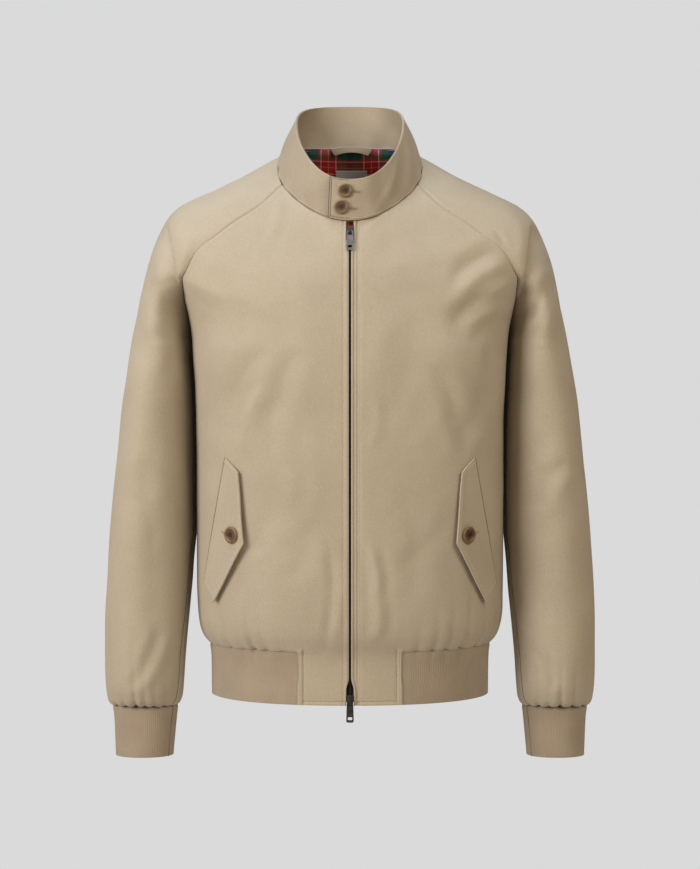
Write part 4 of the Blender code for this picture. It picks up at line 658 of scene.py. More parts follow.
def sleeve_half(rows, down, share, ring_y):
    """Points of half a sleeve, from its seam or inner side to the shoulder ridge or outer side. Seen
    from above a row is a cubic curve that leaves the seam in its turn and ends square to the ridge; its
    height is a quadratic of y."""
    front = rows is FRONT_ROWS
    outer_y = (SLEEVE_RINGS["front_y"] + SLEEVE_RINGS["back_y"]) / 2
    middle = (outer_y + SLEEVE_RINGS["inner_y"]) / 2
    pull = np.abs(SLEEVE_RINGS[ring_y] - middle) / CUBIC_REACH
    seam_x = smooth(SLEEVE_KNOTS, np.concatenate((rows["seam_x"], SLEEVE_RINGS["inner_x"])), down)
    seam_y = smooth(SLEEVE_KNOTS, np.concatenate((rows["seam_y"], SLEEVE_RINGS["inner_y"])), down)
    raglan = down <= UNDERARM + 1e-9
    panel_x, panel_y = seam(rows, down)
    seam_x = np.where(raglan, panel_x, seam_x)
    seam_y = np.where(raglan, panel_y, seam_y)
    part_x, part_y = part_direction(rows, down)
    seam_x = seam_x + part_x * SEAM_GAP / 2
    seam_y = seam_y + part_y * SEAM_GAP / 2
    ridge_x = sleeve_column(RIDGE["x"], SLEEVE_RINGS["outer_x"], down)
    ridge_y = sleeve_column(0 * RIDGE["x"], outer_y, down)
    turn = np.radians(sleeve_column(rows["sleeve_turn"], -90 + 0 * pull, down))
    seam_pull = sleeve_column(rows["seam_pull"], pull, down)
    ridge_pull = sleeve_column(rows["ridge_pull"], pull, down)
    outwards = 1 if front else -1
    x = cubic(seam_x, seam_x + seam_pull * np.cos(turn), ridge_x, ridge_x, share)
    y = cubic(
        seam_y,
        seam_y + outwards * seam_pull * np.sin(turn),
        ridge_y - outwards * ridge_pull,
        ridge_y,
        share,
    )
    side_z = sleeve_column(RIDGE["z"], SLEEVE_RINGS["z"], down)
    slope = sleeve_column(RIDGE["slope"], 0 * pull, down)
    middle_y = sleeve_column(rows["middle_y"], np.full_like(pull, rows["middle_y"][-1]), down)
    middle_z = sleeve_column(rows["middle_z"], SLEEVE_RINGS["z"], down)
    z = row_height(y, side_z, slope, middle_y, middle_z)
    return np.stack((x, y, z), axis=-1)


def unit(vectors):
    """The same directions at length 1."""
    return vectors / np.linalg.norm(vectors, axis=-1, keepdims=True)


def normals(grid):
    """Unit normals of a grid of points, from its neighbours along the rows and the columns."""
    across = np.gradient(grid, axis=1)
    along = np.gradient(grid, axis=0)
    return unit(np.cross(along, across))


def gather_depth(gathers, share, height, spread):
    """Dents of the gathers above a rib: each is narrow, deepest at the seam, and fades upwards."""
    total = np.zeros(np.broadcast(share, height).shape)
    for place, depth, reach in zip(*gathers.values()):
        across = np.exp(-(((share - place) / spread) ** 2))
        total -= depth * across * np.exp(-np.maximum(height, 0) / reach)
    return total


def joined(first, second):
    """One grid of two halves that start side by side and meet at their far ends."""
    return np.concatenate((first, second[:, -2::-1]), axis=1)


def ring_grid(rings, heights, share):
    """Closed rings of a tube, each two cubic half loops from its inner side to its outer side."""
    knots = -rings["z"]
    places = -heights
    inner, outer = smooth(knots, rings["inner_x"], places), smooth(knots, rings["outer_x"], places)
    halves = []
    for column in ("front_y", "back_y"):
        middle = smooth(knots, (rings["front_y"] + rings["back_y"]) / 2, places)
        pull = (smooth(knots, rings[column], places) - middle) / CUBIC_REACH
        x = cubic(inner, inner, outer, outer, share)
        y = cubic(middle, middle + pull, middle + pull, middle, share)
        z = np.broadcast_to(heights[:, None], x.shape)
        halves.append(np.stack((x, y, z), axis=-1))
    return joined(*halves)


def neck_loop(count):
    """Half of the neck seam, on the wearer's left, from the middle front to the middle back."""
    top = np.array((0.0,))
    share = np.linspace(0, 1, 60)
    pieces = (
        panel_grid(FRONT_ROWS, top, share, top)[0],
        sleeve_half(FRONT_ROWS, top, share, "front_y")[0],
        sleeve_half(BACK_ROWS, top, share, "back_y")[0, ::-1],
        panel_grid(BACK_ROWS, top, share, top)[0, ::-1],
    )
    return evenly_spaced(np.concatenate(pieces), count)


def interpolated(places, run, points):
    """Points of a line at places along it, each coordinate between its two neighbours."""
    return np.stack([np.interp(places, run, points[:, axis]) for axis in range(3)], axis=-1)


def run_length(grid, axis):
    """Length along the grid's rows or columns, from its first point to each point."""
    steps = np.linalg.norm(np.diff(grid, axis=axis), axis=-1)
    start = np.zeros_like(np.take(steps, [0], axis=axis))
    return np.cumsum(np.concatenate((start, steps), axis=axis), axis=axis)


def evenly_spaced(points, count):
    """The same line with points at even distances."""
    run = run_length(points, 0)
    return interpolated(np.linspace(0, run[-1], count), run, points)


def rim_loop(count):
    """Half of the collar's rim, from the middle front to the middle back: a superellipse seen from
    above, at heights that are a quadratic of y."""
    turn = np.linspace(0, math.pi, 120)
    power = 2 / RIM_SQUARENESS
    x = RIM_HALF_WIDTH * np.sin(turn) ** power
    reach = np.where(turn < math.pi / 2, RIM_FRONT[0], -RIM_BACK[0])
    y = reach * np.sign(np.cos(turn)) * np.abs(np.cos(turn)) ** power
    front_y, front_z = RIM_FRONT
    back_y, back_z = RIM_BACK
    rise = np.array(((front_y, front_y**2), (back_y, back_y**2)))
    slope, bend = np.linalg.solve(rise, np.array((front_z - RIM_SIDE_Z, back_z - RIM_SIDE_Z)))
    z = RIM_SIDE_Z + slope * y + bend * y**2
    return evenly_spaced(np.stack((x, y, z), axis=-1), count)


def linear(colour):
    """An sRGB hex colour as linear red, green, blue and alpha."""
    parts = np.array([int(colour[i:i + 2], 16) / 255 for i in (0, 2, 4)])
    low = parts / 12.92
    high = ((parts + 0.055) / 1.055) ** 2.4
    return (*np.where(parts <= 0.04045, low, high), 1.0)


def faded_ends(along, reach):
    """Rises from 0 to 1 around the place 0 and falls again around 1, each over twice the reach."""
    return ease((along + reach) / (2 * reach)) * ease((1 + reach - along) / (2 * reach))


def fold_depth(folds, x, z):
    """Sum of creases. Each follows a line from one end to the other, bowed a little. Across it lies a
    narrow valley or ridge, e^(-|near|^1.7), with a weaker opposite swell on both sides, 1.9 widths
    out, and it fades at both ends."""
    total = np.zeros_like(x)
    for ax, az, bx, bz, width, depth in zip(*folds.values()):
        length = math.hypot(bx - ax, bz - az)
        along = ((x - ax) * (bx - ax) + (z - az) * (bz - az)) / length**2
        across = ((x - ax) * (bz - az) - (z - az) * (bx - ax)) / length
        bowed = np.abs(along - 0.5) < 0.8
        across = across + FOLD_BOW * length * 4 * along * (1 - along) * bowed
        fade = faded_ends(along, FOLD_FADE)
        near = across / width
        swell = np.exp(-((np.abs(near) - 1.9) ** 2) / 0.8)
        total += depth * fade * (np.exp(-np.abs(near) ** 1.7) - FOLD_SWELL * swell)
    return total


def drape_depth(drapes, x, z):
    """Sum of overhanging edges. Beyond each line, away from the body, the cloth drops by its drop times
    s(a / edge) e^(-a / reach), where a is the distance from the line and s eases from 0 to 1; it fades
    past both ends."""
    total = np.zeros_like(x)
    for ax, az, bx, bz, reach, drop in zip(*drapes.values()):
        length = math.hypot(bx - ax, bz - az)
        along = ((x - ax) * (bx - ax) + (z - az) * (bz - az)) / length**2
        line_x = ax + along * (bx - ax)
        across = np.abs(x - line_x) * np.sign(np.abs(x) - np.abs(line_x))
        edge = ease(across / DRAPE_EDGE) * np.exp(-np.maximum(across, 0) / reach)
        total -= drop * faded_ends(along, DRAPE_FADE) * edge
    return total


def ripple(x, z, amplitude, seed, count=90):
    """Uneven cloth: a sum of many faint oval dents and swells, each e^(-(along / long)^2 -
    (across / short)^2) with its own place, size and direction."""
    generator = np.random.default_rng(seed)
    total = np.zeros_like(x)
    low_x, high_x, low_z, high_z = x.min(), x.max(), z.min(), z.max()
    for _ in range(count):
        place_x = generator.uniform(low_x, high_x)
        place_z = generator.uniform(low_z, high_z)
        turn = generator.uniform(-1.2, 1.2)
        long, short = generator.uniform(0.030, 0.060), generator.uniform(0.010, 0.022)
        height = generator.normal() * amplitude
        along = (x - place_x) * math.sin(turn) + (z - place_z) * math.cos(turn)
        across = (x - place_x) * math.cos(turn) - (z - place_z) * math.sin(turn)
        total += height * np.exp(-((along / long) ** 2) - (across / short) ** 2)
    return total


def seam_dip(distance, depth=SEAM_DIP[0], width=SEAM_DIP[1]):
    """Where cloth turns into a seam: a dip of -depth e^(-(distance / width)^2) at the edge, and a faint
    bell-shaped swell beside it."""
    share, away, spread = SEAM_SWELL
    swell = share * np.exp(-(((distance - away) / spread) ** 2))
    return depth * (swell - np.exp(-((distance / width) ** 2)))


def seam_share(down):
    """How much of its dip a seam keeps: all of it to 9 cm down, then easing to the side seam's share."""
    return 1 - (1 - SIDE_SEAM_DIP) * ease((down - 0.09) / 0.06)[:, None]


def uneven(*parts):
    """Places that rise evenly within each part: (start, end, how many steps) one after another."""
    pieces = [np.linspace(start, end, count + 1)[:-1] for start, end, count in parts]
    return np.concatenate((*pieces, [parts[-1][1]]))


FRONT_DOWN = np.concatenate((
    uneven((0, 0.003, 4), (0.003, SEAM_LENGTH, 112), (SEAM_LENGTH, WAIST_SEAM - 0.030, 120),
           (WAIST_SEAM - 0.030, WAIST_SEAM - 0.004, 20), (WAIST_SEAM - 0.004, WAIST_SEAM, 5)),
    uneven((WAIST_SEAM, WAIST_SEAM + 0.004, 4), (WAIST_SEAM + 0.004, HEM - 0.007, 16),
           (HEM - 0.007, HEM, 9))[1:],
))


def collar_points(around, height):
    """Points of the collar's outer face, on straight lines from the neck seam to the rim, moved out by
    a bulge of 4 h (1 - h) and by the buttoned part's step. Around runs from -1 (middle front, by the
    wearer's right) through 0 (middle back) to 1 (middle front, by the left), and past these where the
    ends overlap. Height h is the share of the way from the neck seam to the rim."""
    base, rim = neck_loop(LOOP_COUNT), rim_loop(LOOP_COUNT)
    past = np.abs(around) > 1
    share = np.where(past, np.abs(around) - 1, 1 - np.abs(around))
    side = np.where(past, -np.sign(around), np.sign(around))
    index = np.arange(LOOP_COUNT)
    low, high = (interpolated(share * (LOOP_COUNT - 1), index, loop) for loop in (base, rim))
    low[:, 0] *= side
    high[:, 0] *= side
    height = height[:, None, None]
    rise = high - low
    grid = low + rise * height
    grid = grid + unit(rise) * SEAM_GAP * (1 - height)
    bulge = COLLAR_BULGE * 4 * height * (1 - height)
    return grid + unit(grid * (1, 1, 0)) * (bulge + collar_step(around)[None, :, None])


def collar_step(around):
    """How far the collar's buttoned part lies outside the neck seam: it eases out before the middle,
    and its end curls off with the cube of the way along it."""
    end = COLLAR_OVER_X / half_neck_length()
    curl = COLLAR_END_LIFT * np.clip((around - 0.98) / (end + 0.02), 0, 1) ** 3
    return COLLAR_STEP * ease((around - 1 + 0.16) / 0.09) + curl


def block_share():
    """The share of the waist row at which the cloth block meets the rib."""
    share = np.linspace(0, 1, 400)
    row = panel_grid(FRONT_ROWS, np.array((WAIST_SEAM,)), share, np.array((OPENING,)))
    return float(np.interp(BLOCK_EDGE_X, row[0, :, 0], share))


def panel_surface(rows, down, share, side, middle_x):
    """A half panel on the wearer's left (side 1) or right (side -1, still drawn on the left): the
    solid's rows, moved outwards by the sum of its creases, gathers, ripples, seam dips and stitched
    lines. Returns the points and the outward normals."""
    back = rows is BACK_ROWS
    folds, creases, gathers = (BACK_FOLDS, BACK_CREASES, BACK_GATHERS) if back else FRONT_TABLES[side]
    seed = SEED + (2 if back else (1 - side) // 2)
    grid = panel_grid(rows, down, share, middle_x)
    out = normals(grid) * (-1 if back else 1)
    share = np.broadcast_to(share, grid.shape[:2])
    x, y, z = np.moveaxis(grid, -1, 0)
    away = ease(np.abs(y) / 0.05)
    depth = (FOLD_SHARE * fold_depth(folds, side * x, z) + fold_depth(creases, side * x, z)) * away
    height = (WAIST_SEAM - down)[:, None]
    above = height > -1e-9
    depth += GATHER_GAIN * gather_depth(gathers, share, height, GATHER_SPREAD) * above
    chord = np.hypot(grid[:, -1, 0] - grid[:, 0, 0], grid[:, -1, 1] - grid[:, 0, 1])[:, None]
    to_seam = (1 - share) * (chord * 1.1)
    to_middle = x - middle_x[:, None]
    calm = ease(to_seam / CALM)
    if back:
        calm = calm * ease(height / CALM)
    else:
        calm = calm * ease((to_middle - 0.010) / 0.03) * ease((height - 0.004) / CALM + 1 - above)
    depth += ripple(side * x, z, RIPPLE, seed) * calm
    depth += seam_dip(to_seam) * seam_share(down)
    depth += seam_dip(np.abs(height)) * (1 if back else share > block_share())
    if not back:
        depth += zip_edge(x, to_middle, down, side) + block_strip(x, height) + hem_fold(x, down)
    part_x, part_y = part_direction(rows, down)
    grid = grid + out * depth[..., None]
    last = (share > 1 - 1e-9)[..., None]
    shift = np.stack((part_x, part_y, 0 * part_x), axis=-1)[:, None] * SEAM_GAP / 2
    forward = np.sign(rows["middle_y"][0])
    below = (down >= UNDERARM - 1e-9)[:, None, None]
    grid = grid - last * shift + last * below * np.array((0, forward * SEAM_GAP / 2, 0))
    return grid, out


def bump_line(distance, width, height):
    """A rounded ridge (or groove, where the height is negative) along a line: height times
    e^(-(distance / width)^2)."""
    return height * np.exp(-((distance / width) ** 2))


def zip_edge(x, to_middle, down, side):
    """The cloth beside the zip: its edge rolls back and stitching holds it down, in a groove whose
    depth wavers as the product of two sines. On the wearer's left a cord-like edge stands 0.6 mm
    proud, between the grooves of the fly's fold and of its inner edge."""
    share, short, long = PUCKER
    pucker = 1 + share * (np.sin(down / short * math.pi) * np.sin(down / long + 1))[:, None]
    depth = bump_line(to_middle, *LINES["zip_edge"])
    if side < 0:
        depth += bump_line(x - FLY_STITCH_X[0], *LINES["right_fly_stitch"]) * pucker
        return depth + bump_line(x - RIGHT_ROLL_X, *LINES["right_edge_roll"])
    from_opening = to_middle + OPENING
    width, edge, height = FLY_CORD
    cord = height * ease((FLY_FOLD_X[0] + width - from_opening) / edge)
    depth += cord + bump_line(from_opening - FLY_FOLD_X[0], *LINES["fly_fold"])
    depth += bump_line(x - FLY_FOLD_X[1], *LINES["fly_groove"])
    return depth + bump_line(x - FLY_STITCH_X[1], *LINES["left_fly_stitch"]) * pucker


def block_strip(x, height):
    """The narrow strip that covers the rib's end: a fold that eases to 1 mm proud, beside a stitched
    groove, below the waist seam and a little above it."""
    top, fade = STRIP_TOP
    edge, rise = STRIP_RAISE
    within = ease((top - height) / fade)
    raised = ease((x - BLOCK_STRIP_X) / edge) * rise
    groove = bump_line(x - BLOCK_STRIP_X, *LINES["block_strip"])
    return (raised + groove) * within * (x < BLOCK_EDGE_X + 0.001)


def hem_fold(x, down):
    """The cloth block's hem: turned up and stitched in a groove, so that it eases to 0.4 mm thicker
    below the stitched line."""
    up = (HEM - down)[:, None]
    inside = ease((BLOCK_STRIP_X - x) / 0.001)
    edge, rise = HEM_RAISE
    thicker = rise * ease((HEM_STITCH_UP - up) / edge)
    return (bump_line(up - HEM_STITCH_UP, *LINES["hem"]) + thicker) * inside


def turned_in(grid, out, rows=(None, None), columns=(None, None)):
    """The grid with seam allowances: beyond each edge that has a depth, one more row or column that
    much deeper."""
    for axis, ends in ((0, rows), (1, columns)):
        parts, ways = [grid], [out]
        for end, depth in enumerate(ends):
            if depth is None:
                continue
            edge, way = (np.take(values, [-end], axis=axis) for values in (grid, out))
            depth = np.broadcast_to(depth, np.shape(edge)[:2])[..., None]
            place = len(parts) if end else 0
            parts.insert(place, edge - way * depth)
            ways.insert(place, way)
        grid, out = np.concatenate(parts, axis=axis), np.concatenate(ways, axis=axis)
    return grid


def trim_row(grid, row, neighbour, gap):
    """Moves one end row of a grid towards its neighbour, for the gap at a seam."""
    grid[row] += unit(grid[neighbour] - grid[row]) * gap
    return grid


def mirrored(grid):
    """The same grid on the wearer's right, with its columns reversed so that it still faces out."""
    return (grid * (-1, 1, 1))[:, ::-1]


def both_halves(left, right):
    """A grid over both sides of the body, from two halves that start at the middle."""
    return np.concatenate((left[:, ::-1], (right * (-1, 1, 1))[:, 1:]), axis=1)


def cloth_mesh(name, grid, flat, kept=None):
    """A mesh through a grid of points, a quad for each kept cell, with its flat pattern in metres as
    UVs."""
    rows, columns = grid.shape[:2]
    number = np.arange(rows * columns).reshape(rows, columns)
    corners = (number[:-1, :-1], number[1:, :-1], number[1:, 1:], number[:-1, 1:])
    cells = np.stack(corners, axis=-1)
    if kept is not None:
        cells = cells[kept]
    used, cells = np.unique(cells, return_inverse=True)
    cells = cells.reshape(-1, 4)
    mesh = bpy.data.meshes.new(name)
    mesh.vertices.add(len(used))
    mesh.vertices.foreach_set("co", grid.reshape(-1, 3)[used].ravel())
    mesh.loops.add(cells.size)
    mesh.loops.foreach_set("vertex_index", cells.ravel().astype(np.int32))
    mesh.polygons.add(len(cells))
    mesh.polygons.foreach_set("loop_start", np.arange(0, cells.size, 4, dtype=np.int32))
    mesh.update(calc_edges=True)
    layer = mesh.uv_layers.new(name="flat")
    layer.data.foreach_set("uv", flat.reshape(-1, 2)[used][cells.ravel()].ravel())
    mesh.validate()
    mesh.shade_smooth()
    return mesh


def put(name, data):
    """A new object of a mesh, a lamp or a camera, in the scene."""
    made = bpy.data.objects.new(name, data)
    bpy.context.scene.collection.objects.link(made)
    return made


def add_piece(name, mesh, finishes, replaced):
    """Puts a mesh in the scene as a piece that rides on the garment and stands for its solids."""
    made = put(name, mesh)
    for finish in finishes:
        mesh.materials.append(finish)
    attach(made, "garment")
    if replaced:
        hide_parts(*replaced)
    return made


def add_wall(piece, thickness, outwards=False, lined=False, edge=0.0):
    """Gives cloth its thickness, on its inner side unless outwards, with rounded edges where edge is
    the radius."""
    wall = piece.modifiers.new("thickness", "SOLIDIFY")
    wall.thickness = thickness
    wall.offset = 1.0 if outwards else -1.0
    wall.material_offset = 1 if lined else 0
    if edge:
        round_off = piece.modifiers.new("rounded edges", "BEVEL")
        round_off.width = edge
        round_off.segments = 2
        round_off.limit_method = "ANGLE"
        round_off.angle_limit = math.radians(60)


def weld_tube(mesh):
    """Joins the first and last columns of a tube, where they meet."""
    shape = bmesh.new()
    shape.from_mesh(mesh)
    bmesh.ops.remove_doubles(shape, verts=shape.verts, dist=1e-6)
    shape.to_mesh(mesh)
    shape.free()
    mesh.shade_smooth()


def flat_pattern(grid, middle_column=0):
    """The cloth laid flat: lengths along the rows from one column, and along the columns from the
    last row."""
    across = run_length(grid, 1)
    across = across - across[:, middle_column:middle_column + 1]
    along = run_length(grid, 0)
    along = along[-1:] - along
    return np.stack((across, along), axis=-1)


def add_cloth(node, grid, finishes, side=1, flat=None, kept=None, tube=False, kind="cloth",
              slot="cloth", **wall):
    """Puts a grid of points in the scene as the cloth of a node, mirrored on the wearer's right, with
    its wall. A tube is joined along its seam."""
    flat = flat_pattern(grid) if flat is None else flat
    if side < 0:
        grid, flat = mirrored(grid), flat[:, ::-1] * (-1, 1)
        if kept is not None:
            kept = kept[:, ::-1]
    mesh = cloth_mesh(node, grid, flat, kept)
    if tube:
        weld_tube(mesh)
    piece = add_piece(f"{node}_{kind}", mesh, finishes, (node,))
    add_wall(piece, **wall)
    return piece


def small_bars(centres, along, across, out, length, width, height, rings=5):
    """Many small rounded bars at once, as an array of bars, rings, four corners and x, y, z: each ring
    is a square on its corner, and the rings shrink towards the bar's ends as on an ellipse."""
    share = np.linspace(-1, 1, rings)
    round_off = np.sqrt(1 - 0.86 * share**2)[None, :, None, None]
    middle = centres[:, None, None] + along[:, None, None] * (share * length / 2)[None, :, None, None]
    turn = np.arange(4) * math.pi / 2
    side = across[:, None, None] * (np.cos(turn) * width / 2)[None, None, :, None]
    rise = out[:, None, None] * (np.sin(turn) * height / 2)[None, None, :, None]
    return middle + (side + rise) * round_off


def bars_mesh(name, grid):
    """One closed mesh of all the bars: four sides between each two rings and a cap at each end."""
    bars, rings = grid.shape[:2]
    number = np.arange(bars * rings * 4).reshape(bars, rings, 4)
    turned = np.roll(number, -1, axis=2)
    corners = (number[:, :-1], turned[:, :-1], turned[:, 1:], number[:, 1:])
    sides = np.stack(corners, axis=-1).reshape(-1, 4)
    faces = np.concatenate((sides, number[:, 0, ::-1], number[:, -1]))
    mesh = bpy.data.meshes.new(name)
    mesh.from_pydata(grid.reshape(-1, 3).tolist(), [], faces.tolist())
    shape = bmesh.new()
    shape.from_mesh(mesh)
    bmesh.ops.recalc_face_normals(shape, faces=shape.faces)
    shape.to_mesh(mesh)
    shape.free()
    mesh.shade_smooth()
    return mesh


def add_bars(name, bars, finish, replaced=()):
    """Puts bars in the scene as one piece."""
    add_piece(name, bars_mesh(name, bars), (finish,), replaced)


def stitch_bars(path, out, kind="top"):
    """Stitches in a row along a path of points: bars at even distances, half sunk into the cloth."""
    pitch, length, width = STITCHES[kind]
    run = run_length(path, 0)
    places = np.arange(pitch / 2, run[-1], pitch)
    start, middle, end = (interpolated(places + step, run, path)
                          for step in (-STITCH_STEP, 0, STITCH_STEP))
    way = unit(end - start)
    up = interpolated(places, run, out)
    up = unit(up - way * (up * way).sum(axis=-1, keepdims=True))
    centres = middle + up * STITCH_LIFT
    return small_bars(centres, way, np.cross(way, up), up, length, width, STITCH_HEIGHT)


def build_front(side, name, finishes):
    """One front: an outer sheet from the zip's edge to the side seam, down to the hem beside the zip.
    Returns its points and outward normals, drawn on the wearer's left."""
    block = block_share()
    share = uneven((0, 0.032, 22), (0.032, 0.075, 10), (0.075, block - 0.030, 12),
                   (block - 0.030, block, 8), (block, block + 0.012, 2), (block + 0.012, 0.97, 60),
                   (0.97, 1, 8))
    surface, out = panel_surface(FRONT_ROWS, FRONT_DOWN, share, side, opening_edge(FRONT_DOWN))
    grid = trim_row(surface.copy(), 0, 1, SEAM_GAP / 2)
    waist = int(np.argmin(np.abs(FRONT_DOWN - WAIST_SEAM)))
    column = int(np.argmin(np.abs(share - block)))
    grid[waist, column + 1:] += (0, 0, SEAM_GAP / 2)
    grid[waist + 1, column + 1:] = grid[waist, column + 1:] - out[waist, column + 1:] * TURN_IN
    kept = np.ones((grid.shape[0] - 1, grid.shape[1] - 1), dtype=bool)
    kept[waist + 1:, column:] = False
    grid = turned_in(grid, out, rows=(TURN_IN, None), columns=(None, TURN_IN))
    kept = np.pad(kept, ((1, 0), (0, 1)), mode="edge")
    kept[waist + 2:, -1] = False
    piece = add_cloth(name, grid, finishes, side, kept=kept, thickness=SHELL, lined=True)
    return surface, out


def build_back(finishes):
    """The back: one sheet from side seam to side seam, from the neck to the rib."""
    down = uneven((0, 0.003, 4), (0.003, SEAM_LENGTH, 78), (SEAM_LENGTH, WAIST_SEAM - 0.030, 80),
                  (WAIST_SEAM - 0.030, WAIST_SEAM - 0.004, 14), (WAIST_SEAM - 0.004, WAIST_SEAM, 5))
    share = uneven((0, 0.97, 66), (0.97, 1, 8))
    halves = [panel_surface(BACK_ROWS, down, share, side, 0 * down) for side, _ in SIDES]
    grid, out = (both_halves(left, right) for left, right in zip(*halves))
    grid = trim_row(grid, 0, 1, SEAM_GAP / 2)
    grid = trim_row(grid, -1, -2, SEAM_GAP / 2)
    grid = turned_in(grid, out, rows=(BACK_TURN_IN, TURN_IN), columns=(TURN_IN, TURN_IN))
    flat = flat_pattern(grid, len(share))
    piece = add_cloth("back", grid, finishes, flat=flat, thickness=SHELL, lined=True)


def build_sleeve(side, name, finishes):
    """One sleeve: a sheet from the neck over the shoulder, closed to a tube below the underarm. It lies
    on its form moved outwards by the sum of its creases, gathers, ripples, the drape of its cap, seam
    dips and the grooves of its long seam."""
    down = uneven((0, 0.003, 4), (0.003, SEAM_LENGTH, 96), (SEAM_LENGTH, CUFF_SEAM - 0.040, 116),
                  (CUFF_SEAM - 0.040, CUFF_SEAM - 0.004, 26), (CUFF_SEAM - 0.004, CUFF_SEAM, 5))
    share = uneven((0, 0.03, 8), (0.03, 0.11, 5), (0.11, 0.23, 20), (0.23, 1, 48))
    back_share = uneven((0, 0.03, 8), (0.03, 1, 30))
    folds, creases, gathers, drapes = SLEEVE_TABLES[side]
    grid = joined(sleeve_half(FRONT_ROWS, down, share, "front_y"),
                  sleeve_half(BACK_ROWS, down, back_share, "back_y"))
    tube = down > UNDERARM + 1e-9
    grid[tube, 0] = grid[tube, -1] = (grid[tube, 0] + grid[tube, -1]) / 2
    out = normals(grid)
    closed = down > UNDERARM - 1e-9
    out[closed, 0] = out[closed, -1] = unit(out[closed, 0] + out[closed, -1])
    x, y, z = np.moveaxis(grid, -1, 0)
    from_front = run_length(grid, 1)
    to_seam = np.minimum(from_front, from_front[:, -1:] - from_front)
    forward = ease(-y / 0.03 + 0.2)
    depth = SLEEVE_FOLD_SHARE * fold_depth(folds, side * x, z) + fold_depth(creases, side * x, z)
    depth *= forward
    height = (CUFF_SEAM - down)[:, None]
    half = len(share)
    depth[:, :half] += gather_depth(gathers, share[None, :], height, CUFF_GATHER_SPREAD)
    back_places = back_share[-2::-1][None, :]
    depth[:, half:] += gather_depth(BACK_CUFF_GATHERS, back_places, height, CUFF_GATHER_SPREAD)
    depth += ripple(side * x + 0.7 * y, z, RIPPLE, SEED + 5 + side) * ease(height / CALM)
    depth *= ease(to_seam / 0.012)
    depth += drape_depth(drapes, side * x, z) * forward * ease(to_seam / 0.003)
    depth += seam_dip(to_seam) * ~tube[:, None] * seam_share(down) + seam_dip(height)
    for place in SLEEVE_SEAM_AT:
        groove = bump_line(from_front - place, *LINES["sleeve_seam"])
        depth += groove * ease((down - UNDERARM) / 0.02)[:, None]
    grid = grid + out * depth[..., None]
    below = (down > UNDERARM + 0.012) & (down < CUFF_SEAM - 0.001)
    add_seam_line(f"{name}_seam", grid[below], out[below], SLEEVE_LINE_AT, side)
    grid = trim_row(grid, 0, 1, SEAM_GAP / 2)
    grid = trim_row(grid, -1, -2, SEAM_GAP / 2)
    raglan = (TURN_IN * ease((UNDERARM - down) / 0.004))[:, None]
    grid = turned_in(grid, out, columns=(raglan, raglan))
    out = np.concatenate((out[:, :1], out, out[:, -1:]), axis=1)
    grid = turned_in(grid, out, rows=(TURN_IN, CUFF_TURN_IN))
    flat = flat_pattern(grid, half)
    piece = add_cloth(name, grid, finishes, side, flat, tube=True, thickness=SHELL, lined=True)


def add_seam_line(name, grid, out, inset, side):
    """The close stitches of a tube's long seam, at one distance round the tube from its inner side."""
    around = run_length(grid, 1)
    path, up = (np.array([interpolated(inset, run, row) for run, row in zip(around, rows)])
                for rows in (grid, out))
    add_bars(name, stitch_bars(path, up, "seam") * (side, 1, 1), DARK_THREAD_AND_SHADOW)


def rib_wave(around, height_share):
    """The rib's ridges: the 0.8th power of a wave's size, which gives rounded ribs with narrow grooves,
    on a phase that wanders with two slow sines."""
    phase = around / RIB_PITCH * 2 * math.pi
    wander = 0.4 * np.sin(around * 61) + 0.3 * np.sin(around * 173 + height_share * 2)
    return RIB_HEIGHT * (np.abs(np.cos((phase + wander) / 2)) ** 0.8 - 0.6)


def even_columns(grid, steps):
    """Each row again with points at even distances, so many for each rib, and the rows' length."""
    length = run_length(grid[:1], 1)[0, -1]
    count = int(length / RIB_PITCH) * steps + 1
    return np.array([evenly_spaced(row, count) for row in grid]), length


def with_allowance(grid, out):
    """The rib's grid with one more row above its seam, further in and up, so that no light shows
    between the gathers."""
    inwards, up = RIB_ALLOWANCE
    return np.concatenate((grid[:1] - out[:1] * inwards + (0, 0, up), grid))


def build_waistband(finishes):
    """The hem's rib from one cloth block round the back to the other: the solid's rows, moved outwards
    by the gathers beside it, its ribs and the seam's dip."""
    down = uneven((WAIST_SEAM, WAIST_SEAM + 0.003, 2), (WAIST_SEAM + 0.003, HEM - 0.002, 8),
                  (HEM - 0.002, HEM, 2))
    below = (down - WAIST_SEAM)[:, None]
    halves = []
    for gathers in (LEFT_FRONT_GATHERS, RIGHT_FRONT_GATHERS):
        parts = []
        for rows, first, middle, dents, way in (
            (FRONT_ROWS, block_share(), opening_edge(down), gathers, 1),
            (BACK_ROWS, 0, 0 * down, BACK_GATHERS, -1),
        ):
            share = np.linspace(first, 1, 140)
            panel = panel_grid(rows, down, share, middle)
            depth = gather_depth(dents, share[None, :], below * 4, GATHER_SPREAD)
            parts.append(panel + way * normals(panel) * depth[..., None])
        halves.append(joined(*parts))
    grid = joined(halves[0], halves[1] * (-1, 1, 1))
    grid[:, 0, 0] += BLOCK_GAP
    grid[:, -1, 0] -= BLOCK_GAP
    grid, length = even_columns(grid, RIB_STEPS[0])
    grid = trim_row(grid, 0, 1, SEAM_GAP)
    out = normals(grid)
    around = np.linspace(0, length, grid.shape[1])[None, :]
    share = np.linspace(0, 1, len(down))[:, None]
    depth = rib_wave(around, share) + seam_dip(below, *RIB_SEAM_DIP) - RIB_SINK
    grid = with_allowance(grid + out * depth[..., None], out)
    piece = add_cloth("waistband", grid, finishes, kind="rib", slot="rib", thickness=RIB)


